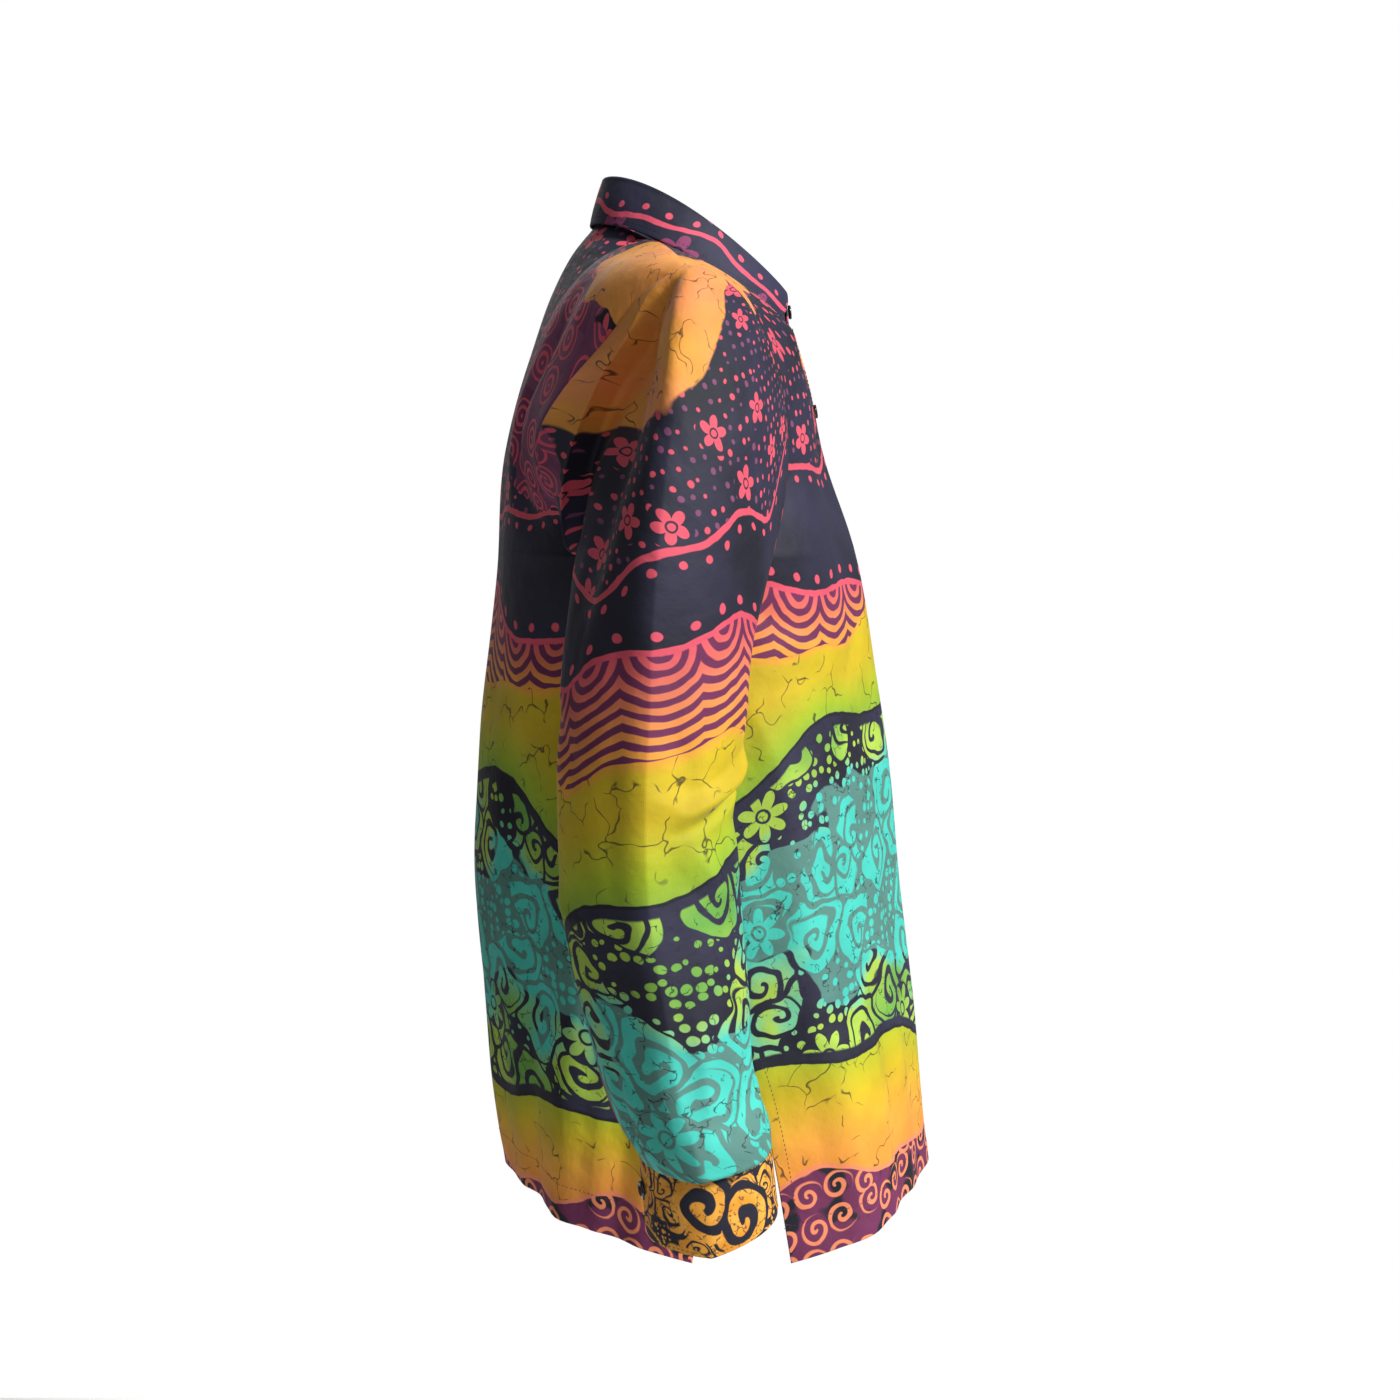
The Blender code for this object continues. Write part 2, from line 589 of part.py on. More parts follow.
def stand_points():
    """The collar stand from its top edge down; the wearer's left end lies over the right end."""
    angle = np.linspace(180.0 + STAND_LAP, -180.0 - STAND_LAP, COLLAR_COLUMNS + 1)
    tuck = lapped(-angle, 2.0 * STAND_LAP, BAND_WALL + 2.0 * SEAM_GAP)[:, None]
    out = oval_outward(angle, FOLD_HALF_WIDTH, NECK_BACK[0])
    low = neck_seam(angle) + np.array([0.0, 0.0, STAND_LIFT])
    rise = fold_line(angle) - low
    high = low + rise * (1.0 - STAND_BELOW_FOLD / np.linalg.norm(rise, axis=-1, keepdims=True))
    rows = [high + (low - high) * share - out * tuck
            for share in np.linspace(0.0, 1.0, STAND_ROWS + 1)]
    return np.array(rows)[:, ::-1]


def leaf_points():
    """The collar leaf: up from the stand's inner face, over the fold and down to its edge."""
    share = np.linspace(-1.0, 1.0, COLLAR_COLUMNS + 1)
    rows = []
    for out, up in LEAF_ROLL:
        angle = share * FOLD_END_ANGLE
        rows.append(fold_line(angle) + oval_outward(angle, FOLD_HALF_WIDTH, NECK_BACK[0]) * out
                    + np.array([0.0, 0.0, up]))
    for fall in np.linspace(0.0, 1.0, LEAF_ROWS + 1)[1:]:
        angle = share * (FOLD_END_ANGLE + (EDGE_END_ANGLE - FOLD_END_ANGLE) * fall)
        top = fold_line(angle) + oval_outward(angle, FOLD_HALF_WIDTH, NECK_BACK[0]) * LEAF_ROLL[-1][0]
        top[:, 2] += LEAF_ROLL[-1][1]
        bulge = oval_outward(angle, EDGE_HALF_WIDTH, EDGE_BACK[0]) * LEAF_BULGE
        rows.append(top + (leaf_edge(angle) - top) * fall + bulge * math.sin(math.pi * fall))
    return np.array(rows)


def band_points():
    """The front band, lying on the meeting edges of the two fronts."""
    heights = np.array([front_centre(w)[2] for w in panel_rows() if w <= FRONT_NECK_ROW])
    heights[-1] -= SEAM_GAP
    y = through(FRONT_LINE, heights)[:, 0] - SEAM_GAP - BAND_WALL
    x = np.linspace(-BAND_HALF_WIDTH, BAND_HALF_WIDTH, BAND_COLUMNS + 1)
    return np.stack([np.broadcast_to(x, (len(y), len(x))),
                     np.broadcast_to(y[:, None], (len(y), len(x))),
                     np.broadcast_to(heights[:, None], (len(y), len(x)))], axis=-1)


def build_sleeves(batik, contrast):
    allowance = seam_allowance(SLEEVE_HEAD_TURN)
    sleeve = draw_in(sleeve_points(), first=allowance, last=SEAM_GAP / 2.0, axis=0)
    cloth("sleeve_left", sleeve, WALL, batik, closed=True)
    cloth("sleeve_right", mirrored(sleeve), WALL, batik, closed=True)
    cuff = cuff_points()
    cloth("cuff_left", cuff, BAND_WALL, contrast)
    cloth("cuff_right", mirrored(cuff), BAND_WALL, contrast)


def button(name, place, facing, finish):
    """A round button whose back is a seam gap above place, with its axis along facing."""
    facing = Vector(facing).normalized()
    middle = Vector(place) + facing * (SEAM_GAP + BUTTON_THICKNESS / 2.0)
    bpy.ops.mesh.primitive_cylinder_add(vertices=BUTTON_SIDES, radius=BUTTON_RADIUS,
                                        depth=BUTTON_THICKNESS, location=middle,
                                        rotation=facing.to_track_quat("Z", "Y").to_euler())
    made = bpy.context.object
    made.name = made.data.name = name
    made.data.materials.append(finish)
    for holder in made.users_collection:
        holder.objects.unlink(made)
    bpy.data.collections[COLLECTION].objects.link(made)


def build_buttons(finish):
    low, fold = neck_seam(180.0)[0], fold_line(180.0)[0]
    rise = fold - low
    button("button_neck", (low + fold) / 2.0, (0.0, -rise[2], rise[1]), finish)
    heights = np.linspace(FIRST_BUTTON_Z, LAST_BUTTON_Z, FRONT_BUTTONS)
    for number, z in enumerate(heights, start=1):
        above, below = through(FRONT_LINE, (z + BUTTON_RADIUS, z - BUTTON_RADIUS))[:, 0]
        y = through(FRONT_LINE, z)[0, 0] - SEAM_GAP - BAND_WALL
        facing = (0.0, -2.0 * BUTTON_RADIUS, above - below)
        button(f"button_front_{number}", (0.0, y, z), facing, finish)
    angle = CUFF_OPENING + CUFF_OVERLAP / 2.0
    place = ring_point(cuff_ring(CUFF_BUTTON_SHARE), angle)
    across = ring_point(cuff_ring(CUFF_BUTTON_SHARE), angle + 1.0) - place
    facing = np.cross(place - ring_point(cuff_ring(1.0), angle), across)
    button("button_cuff_left", place, facing, finish)
    flip = Vector((-1.0, 1.0, 1.0))
    button("button_cuff_right", Vector(place) * flip, Vector(facing) * flip, finish)


def main():
    for thing in list(bpy.data.objects):
        bpy.data.objects.remove(thing)
    collection = bpy.data.collections.new(COLLECTION)
    bpy.context.scene.collection.children.link(collection)
    batik = material("batik_cotton", (0.16, 0.15, 0.22), 0.75)
    contrast = material("contrast_cotton", (0.72, 0.42, 0.10), 0.75)
    buttons = material("button_resin", (0.04, 0.04, 0.05), 0.25)
    build_back(batik)
    build_fronts(batik)
    build_sleeves(batik, contrast)
    cloth("collar_stand", stand_points(), BAND_WALL, batik)
    cloth("collar_leaf", leaf_points(), BAND_WALL, batik)
    cloth("front_band", band_points(), BAND_WALL, contrast)
    build_buttons(buttons)


main()
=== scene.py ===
"""Looks of a long-sleeved batik shirt, worn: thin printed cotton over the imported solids.

Metres, +Z up, the wearer facing -Y with the left sleeve at +X. The cloth is cut from the same
panels as the solids, on a finer grid, and gets the creases, seams, stitches and wax-resist print.
"""
from __future__ import annotations

import logging
import math
from dataclasses import dataclass, field
from enum import Enum
from functools import partial

import bmesh
import bpy
import numpy as np
from bpy.types import ID, Material, Mesh, Node, NodeTree, Object
from bpy.types import NodeSocket as Socket
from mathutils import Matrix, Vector

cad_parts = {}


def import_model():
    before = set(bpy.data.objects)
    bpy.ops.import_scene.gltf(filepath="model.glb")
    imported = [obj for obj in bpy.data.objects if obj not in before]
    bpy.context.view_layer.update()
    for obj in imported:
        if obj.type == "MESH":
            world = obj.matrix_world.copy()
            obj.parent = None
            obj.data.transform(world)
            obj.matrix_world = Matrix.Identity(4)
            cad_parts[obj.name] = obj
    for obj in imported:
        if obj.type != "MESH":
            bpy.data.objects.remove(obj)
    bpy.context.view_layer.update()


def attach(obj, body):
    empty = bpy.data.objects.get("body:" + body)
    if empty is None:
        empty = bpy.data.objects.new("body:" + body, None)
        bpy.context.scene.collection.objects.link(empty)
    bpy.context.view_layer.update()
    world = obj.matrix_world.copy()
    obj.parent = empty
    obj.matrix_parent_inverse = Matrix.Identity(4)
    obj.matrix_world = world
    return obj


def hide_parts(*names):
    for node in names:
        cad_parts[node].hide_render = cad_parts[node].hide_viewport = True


Array = np.ndarray
LOG = logging.getLogger("batik_shirt")
BODY = "root"
MIRROR = np.array([-1.0, 1.0, 1.0])     # turns the wearer's left into the right


class Side(Enum):
    """The wearer's side that a piece lies on."""

    LEFT = 1.0
    RIGHT = -1.0


class Slot(Enum):
    """The record's material slots."""

    BATIK = "batik_cotton"
    CONTRAST = "contrast_cotton"
    BUTTON = "button_resin"


# ---------------------------------------------------------------- curves and grids


def through(table: tuple, positions: Array | float) -> Array:
    """Read a smooth curve through a table.

    Args:
        table: Rows whose first column is the position.
        positions: Where to read it.

    Returns:
        One row of values for each position.
    """
    rows = np.array(sorted(table))
    x, y = rows[:, 0], rows[:, 1:]
    slopes = np.gradient(y, x, axis=0)
    at = np.clip(np.atleast_1d(positions), x[0], x[-1])
    i = np.clip(np.searchsorted(x, at, side="right") - 1, 0, len(x) - 2)
    step = (x[i + 1] - x[i])[:, None]
    t = (at - x[i])[:, None] / step
    return ((2 * t**3 - 3 * t**2 + 1) * y[i] + (t**3 - 2 * t**2 + t) * step * slopes[i]
            + (3 * t**2 - 2 * t**3) * y[i + 1] + (t**3 - t**2) * step * slopes[i + 1])


def ease(t: Array | float) -> Array:
    """A smooth 0 to 1 step."""
    t = np.clip(t, 0.0, 1.0)
    return t * t * (3.0 - 2.0 * t)


def length_of(vectors: Array) -> Array:
    """The length of each vector, with the last axis kept."""
    return np.linalg.norm(vectors, axis=-1, keepdims=True)


def unit(vectors: Array) -> Array:
    """Each vector, made one long."""
    return vectors / np.maximum(length_of(vectors), 1e-12)


@dataclass(frozen=True)
class NeckOval:
    """A tilted oval round the neck."""

    half_width: float
    back: tuple            # y and z at the back
    front: tuple           # y and z at the front
    slope: float           # how its height falls from back to front

    def at(self, angle: Array | float) -> Array:
        """Find points on it.

        Args:
            angle: Degrees from the centre back.

        Returns:
            One point for each angle.
        """
        turn = np.radians(np.atleast_1d(angle))
        share = (1.0 - np.cos(turn)) / 2.0
        y = self.back[0] + (self.front[0] - self.back[0]) * share
        z = self.back[1] + (self.front[1] - self.back[1]) * share**self.slope
        return np.stack([self.half_width * np.sin(turn), y, z], axis=-1)

    def out(self, angle: Array, half_depth: float) -> Array:
        """Find which way is out of it, level."""
        turn = np.radians(angle)
        return unit(np.stack([np.sin(turn) / self.half_width, np.cos(turn) / half_depth,
                              np.zeros_like(turn)], axis=-1))


def outward(points: Array) -> Array:
    """Unit normals of a grid of points, on the side of du x dw."""
    return unit(np.cross(np.gradient(points, axis=1), np.gradient(points, axis=0)))


def risen(points: Array, across: Array) -> Array:
    """Find how far along the cloth each point of a grid lies, row on row.

    Args:
        points: The grid.
        across: How far across the cloth each point lies.

    Returns:
        The distance from the first row, in metres.
    """
    step = length_of(np.diff(points, axis=0))[..., 0]
    along = np.zeros(points.shape[:2])
    along[1:] = np.cumsum(np.sqrt(np.maximum(step**2 - np.diff(across, axis=0)**2, 0.0)), axis=0)
    return along


def unrolled(points: Array) -> Array:
    """Lay a grid of cloth flat.

    Args:
        points: A grid whose rows run up the cloth, from a straight first column.

    Returns:
        The flat place of each point, across and along the cloth, in metres.
    """
    across = np.zeros(points.shape[:2])
    across[:, 1:] = np.cumsum(length_of(np.diff(points, axis=1))[..., 0], axis=1)
    return np.stack([across, risen(points, across)], axis=-1)


def crowded(count: int, near_start: bool, near_end: bool, extra: tuple = ()) -> Array:
    """Values from 0 to 1, evenly spread but for a few close to an end where a seam turns in.

    Args:
        count: How many even steps there are.
        near_start: Whether the start is a seam.
        near_end: Whether the end is a seam.
        extra: Further values to take in.

    Returns:
        The sorted values.
    """
    values = [np.linspace(0.0, 1.0, count + 1), np.array(extra, float)]
    close = np.array([0.0012, 0.0030, 0.0055, 0.0090]) / 0.30
    if near_start:
        values.append(close)
    if near_end:
        values.append(1.0 - close)
    return np.unique(np.round(np.concatenate(values), 6))


@dataclass(frozen=True)
class Crease:
    """A soft crease in the cloth, along a line given in the cloth's own flat metres."""

    line: tuple
    half_width: float
    height: float          # a trough is below 0
    sharp: float = 0.0     # above 0 its middle is a crisp edge, and this is its power

    def lift(self, flat: Array) -> Array:
        """Find its height at each flat place.

        Args:
            flat: The flat places of a grid's points.

        Returns:
            The height that it adds there.
        """
        knots = np.array(self.line, float)
        lengths = length_of(np.diff(knots, axis=0))[:, 0]
        before = np.concatenate([[0.0], np.cumsum(lengths)])
        best = np.full(flat.shape[:2], 1e9)
        share = np.zeros(flat.shape[:2])
        for i, length in enumerate(lengths):
            run = (knots[i + 1] - knots[i]) / length
            t = np.clip((flat - knots[i]) @ run, 0.0, length)
            away = length_of(flat - knots[i] - t[..., None] * run)[..., 0]
            nearer = away < best
            best = np.where(nearer, away, best)
            share = np.where(nearer, (before[i] + t) / before[-1], share)
        across = np.clip(1.0 - best / self.half_width, 0.0, 1.0)
        hump = across ** self.sharp if self.sharp else ease(across)
        return self.height * hump * np.sin(math.pi * np.clip(share * 0.92 + 0.04, 0.0, 1.0)) ** 0.8


@dataclass(frozen=True)
class Ripple:
    """The uneven hang of light cotton: a few long waves of small height."""

    height: float = 0.0009
    seed: int = 3
    waves: int = 9
    shortest: float = 0.07
    longest: float = 0.20

    def lift(self, flat: Array) -> Array:
        """Find the ripple's height.

        Args:
            flat: The flat places of a grid's points.

        Returns:
            The height at each place.
        """
        rng = np.random.default_rng(self.seed)
        total = np.zeros(flat.shape[:2])
        for _ in range(self.waves):
            length = rng.uniform(self.shortest, self.longest)
            turn = rng.normal(0.0, 0.45)
            phase = rng.uniform(0.0, math.tau)
            run = np.array([math.cos(turn), math.sin(turn)]) * math.tau / length
            total += np.sin(flat @ run + phase)
        return total * self.height / math.sqrt(self.waves)


@dataclass(frozen=True)
class Fold:
    """A broad fold, placed by shares of the panel's width (u) and by its rows (w)."""

    low_u: float
    high_u: float
    inner: float
    outer: float
    low_w: float
    high_w: float
    height: float

    def lift(self, u: Array, w: Array) -> Array:
        """Find its height.

        Args:
            u: The columns' places.
            w: The rows' values.

        Returns:
            The height at each row and column.
        """
        rise = np.clip((w - self.low_w) / (self.high_w - self.low_w), 0.0, 1.0)[:, None]
        away = u[None, :] - (self.low_u + (self.high_u - self.low_u) * rise)
        reach = np.where(away < 0.0, self.inner, self.outer)
        near = np.clip(1.0 - np.abs(away) / reach, 0.0, 1.0)
        return self.height * (np.sin(near * math.pi / 2.0) ** 2 * np.sin(math.pi * rise) ** 2)


# ---------------------------------------------------------------- meshes


def grid_mesh(name: str, points: Array, flat: Array, closed: bool = False) -> Mesh:
    """Make a mesh of a grid of points, with the flat places as its UV map.

    Args:
        name: The mesh's name.
        points: Rows of points.
        flat: The flat place of each point, in metres.
        closed: Whether the first and last columns are one seam to weld.

    Returns:
        The mesh.
    """
    rows, columns = points.shape[:2]
    index = np.arange(rows * columns).reshape(rows, columns)
    faces = np.stack([index[:-1, :-1], index[:-1, 1:], index[1:, 1:], index[1:, :-1]], axis=-1)
    mesh = bpy.data.meshes.new(name)
    mesh.from_pydata(points.reshape(-1, 3).tolist(), [], faces.reshape(-1, 4).tolist())
    uv = mesh.uv_layers.new(name="cloth")
    corner = np.zeros(len(mesh.loops), np.int32)
    mesh.loops.foreach_get("vertex_index", corner)
    uv.data.foreach_set("uv", flat.reshape(-1, 2)[corner].astype(np.float32).ravel())
    if closed:
        weld = bmesh.new()
        weld.from_mesh(mesh)
        bmesh.ops.remove_doubles(weld, verts=weld.verts, dist=0.00002)
        weld.to_mesh(mesh)
        weld.free()
    mesh.shade_smooth()
    return mesh


def linked(name: str, data: ID) -> Object:
    """Put a mesh, curve, light or camera in the scene.

    Args:
        name: The object's name.
        data: What it holds.

    Returns:
        The object.
    """
    made = bpy.data.objects.new(name, data)
    bpy.context.scene.collection.objects.link(made)
    return made


def place(mesh: Mesh, finish: Material, slot: Slot,
          replaced: tuple = ()) -> Object:
    """Put a finished mesh in the scene as a piece of the shirt.

    Args:
        mesh: The piece's mesh, with its place in it.
        finish: The material.
        slot: The record's slot that the finish belongs to; not used.
        replaced: The solids that it stands for.

    Returns:
        The object.
    """
    piece = linked(mesh.name, mesh)
    mesh.materials.clear()
    mesh.materials.append(finish)
    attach(piece, BODY)
    if replaced:
        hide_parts(*replaced)
    return piece


def mirrored(points: Array) -> Array:
    """The wearer's right copy of a left grid, its columns turned round to face outwards."""
    return points[:, ::-1] * MIRROR


def on_side(points: Array, flat: Array, side: Side,
            across: float = 1.0) -> tuple[Array, Array]:
    """Turn a left grid round where it is for the wearer's right.

    Args:
        points: The left grid.
        flat: Its flat places.
        side: The side that it is for.
        across: -1 where the right copy's flat places run the other way.

    Returns:
        The grid and its flat places.
    """
    if side is Side.LEFT:
        return points, flat
    return mirrored(points), flat[:, ::-1] * np.array([across, 1.0])


def cloth_area(points: Array) -> float:
    """Measure a grid of cloth.

    Args:
        points: The grid.

    Returns:
        Its area in square metres.
    """
    a = points[1:, :-1] - points[:-1, :-1]
    b = points[:-1, 1:] - points[:-1, :-1]
    c = points[1:, :-1] - points[1:, 1:]
    d = points[:-1, 1:] - points[1:, 1:]
    return float((length_of(np.cross(a, b)) + length_of(np.cross(c, d))).sum() / 2.0)


def cut_cloth(name: str, points: Array, flat: Array, finish: Material,
              slot: Slot, replaced: tuple, wall: float, closed: bool = False) -> Object:
    """Make a piece of cloth from a grid, with its wall inwards from its outer face.

    Args:
        name: The piece's name.
        points: Rows of points on its outer face.
        flat: The flat place of each point, in metres.
        finish: The material.
        slot: The record's slot that the finish belongs to.
        replaced: The solids that it stands for.
        wall: How thick it is.
        closed: Whether the first and last columns are one seam to weld.

    Returns:
        The piece.
    """
    piece = place(grid_mesh(name, points, flat, closed), finish, slot, replaced)
    solid = piece.modifiers.new("wall", "SOLIDIFY")
    solid.thickness = wall
    solid.offset = -1.0
    solid.use_even_offset = False
    LOG.info("%s: area %.4f m2", name, cloth_area(points))
    return piece


# ---------------------------------------------------------------- the cut of the shirt


@dataclass(frozen=True)
class ShirtForm:
    """The lines that the body's pieces share: hem, neck seam, shoulders and armholes."""

    front_hem_z: float = -0.705
    back_hem_z: float = -0.702
    hem_side_z: float = -0.741
    underarm_z: float = -0.235
    front_line: tuple = (
        (-0.717, -0.184), (-0.610, -0.175), (-0.464, -0.158), (-0.320, -0.1385),
        (-0.225, -0.1205), (-0.155, -0.1005), (-0.108, -0.0915), (-0.062, -0.0780))
    back_line: tuple = (
        (-0.717, 0.1425), (-0.610, 0.1575), (-0.490, 0.1700), (-0.370, 0.164), (-0.250, 0.150),
        (-0.155, 0.142), (-0.085, 0.1235), (-0.035, 0.106), (0.002, 0.0855), (0.022, 0.070))
    side_line: tuple = (
        (-0.742, 0.200, -0.038), (-0.575, 0.197, -0.034), (-0.400, 0.195, -0.012),
        (-0.290, 0.197, 0.004), (-0.235, 0.207, 0.012))
    vent_top_z: float = -0.585
    vent_half_opening: float = 0.0355
    vent_curve: float = 0.62
    side_roundness: float = 0.84
    least_turn: float = 42.0
    neck: NeckOval = NeckOval(0.064, (0.070, 0.022), (-0.078, -0.062), 1.12)
    shoulder_angle: float = 62.0
    shoulder_tip: tuple = (0.215, -0.001, -0.035)
    shoulder_bow: float = 0.004
    shoulder_pull: float = 7.0
    armhole_x: tuple = (0.207, 0.179, 0.215)
    reach_front: float = 0.067
    armhole_back: tuple = (
        (0.0, 0.012), (0.12, 0.041), (0.24, 0.078), (0.348, 0.102), (0.418, 0.107), (0.484, 0.103),
        (0.543, 0.0915), (0.64, 0.067), (0.79, 0.036), (0.90, 0.015), (1.0, -0.001))
    neck_corner: float = 0.3653
    front_neck_row: float = 1.5
    neckline_crowding: float = 1.5

    def shoulder_seam(self, share: Array | float) -> Array:
        """The left shoulder seam, from the side neck point to the shoulder tip."""
        share = np.atleast_1d(share)[:, None]
        start, end = self.neck.at(self.shoulder_angle)[0], np.array(self.shoulder_tip)
        bow = np.array([0.0, 0.0, self.shoulder_bow]) * np.sin(math.pi * share)
        return start + (end - start) * share + bow

    def armhole(self, rise: Array | float, back: bool) -> Array:
        """Draw half of the left armhole.

        Args:
            rise: Shares from the underarm (0) to the shoulder tip (1).
            back: Whether it is the back half.

        Returns:
            One point for each share.
        """
        rise = np.atleast_1d(rise)
        low, middle, high = self.armhole_x
        swing = np.cos(math.pi * rise)
        x = middle + ((low + high) / 2.0 - middle) * swing**2 - (high - low) / 2.0 * swing
        y_low = through(self.side_line, self.underarm_z)[0, 1]
        y = (y_low + (self.shoulder_tip[1] - y_low) * rise
             - self.reach_front * np.sin(math.pi * rise))
        if back:
            y = through(self.armhole_back, rise)[:, 0]
        z = ((self.underarm_z + self.shoulder_tip[2]) / 2.0
             - (self.shoulder_tip[2] - self.underarm_z) / 2.0 * swing)
        return np.stack([x, y, z], axis=-1)

    def side_edge(self, w: float, front: bool) -> Array:
        """Find a panel's side end: vent and side seam up to row 1, the armhole above.

        Args:
            w: The row value.
            front: Whether it is a front.

        Returns:
            The point.
        """
        if w > 1.0:
            return self.armhole(w - 1.0, back=not front)[0]
        z = self.hem_side_z + (self.underarm_z - self.hem_side_z) * w
        half_width, y = through(self.side_line, z)[0]
        below = np.clip((self.vent_top_z - z) / (self.vent_top_z - self.hem_side_z), 0.0, 1.0)
        opening = self.vent_half_opening * below ** self.vent_curve
        return np.array([half_width, y + (-opening if front else opening), z])

    def centre_edge(self, w: float, front: bool) -> Array:
        """Find a panel's centre end; on a front above its neck row, the neckline.

        Args:
            w: The row value.
            front: Whether it is a front.

        Returns:
            The point.
        """
        if not front:
            z = np.interp(w, (0.0, 1.0, 2.0),
                          (self.back_hem_z, self.underarm_z, self.neck.back[1]))
            return np.array([0.0, through(self.back_line, z)[0, 0], z])
        if w > self.front_neck_row:
            share = (w - self.front_neck_row) / (2.0 - self.front_neck_row)
            share **= self.neckline_crowding
            return self.neck.at(180.0 + (self.shoulder_angle - 180.0) * share)[0]
        z = np.interp(w, (0.0, 1.0, self.front_neck_row),
                      (self.front_hem_z, self.underarm_z, self.neck.front[1]))
        return np.array([0.0, through(self.front_line, z)[0, 0], z])

    def row(self, w: float, columns: Array, front: bool) -> Array:
        """Draw a row of a panel, a level arc from its centre end to its side end.

        Args:
            w: The row value.
            columns: Shares of the width.
            front: Whether it is a front.

        Returns:
            One point for each column.
        """
        start, end = self.centre_edge(w, front), self.side_edge(w, front)
        turn = 90.0
        if w > 1.0:
            seam_y = through(self.side_line, self.underarm_z)[0, 1]
            left = np.clip((end[1] - seam_y) / (start[1] - seam_y), 0.0, 1.0)
            turn = max(self.least_turn,
                       math.degrees(math.acos(left ** (1.0 / self.side_roundness))))
        roundness = self.side_roundness + (1.0 - self.side_roundness) * float(ease(w - 1.0))
        swing = np.linspace(0.0, math.radians(turn), 600)
        along = (np.sin(swing) / math.sin(swing[-1])) ** roundness
        rest = math.cos(swing[-1]) ** roundness if turn < 89.0 else 0.0
        down = (1.0 - np.maximum(np.cos(swing), 0.0) ** roundness) / (1.0 - rest)
        x = start[0] + (end[0] - start[0]) * along
        y = start[1] + (end[1] - start[1]) * down
        length = np.concatenate([[0.0], np.cumsum(np.hypot(np.diff(x), np.diff(y)))])
        share = length / length[-1]
        z = start[2] + (end[2] - start[2]) * columns**2
        return np.stack([np.interp(columns, share, x), np.interp(columns, share, y), z], axis=-1)

    def panel(self, columns: Array, levels: Array, front: bool) -> Array:
        """The left half of the front or back, smooth and with no folds.

        Args:
            columns: Shares of the width, from the centre to the side.
            levels: Row values, from the hem (0) past the underarm (1) to the shoulder (2).
            front: Whether it is the front.

        Returns:
            The grid of points.
        """
        grid = np.array([self.row(w, columns, front) for w in levels])
        if front:
            top = self.shoulder_seam(columns)
        else:
            neck = columns <= self.neck_corner
            top = np.concatenate([
                self.neck.at(self.shoulder_angle * columns[neck] / self.neck_corner),
                self.shoulder_seam((columns[~neck] - self.neck_corner)
                                   / (1.0 - self.neck_corner))])
        pull = np.clip(levels - 1.0, 0.0, 1.0) ** self.shoulder_pull
        return grid + pull[:, None, None] * (top - grid[-1])


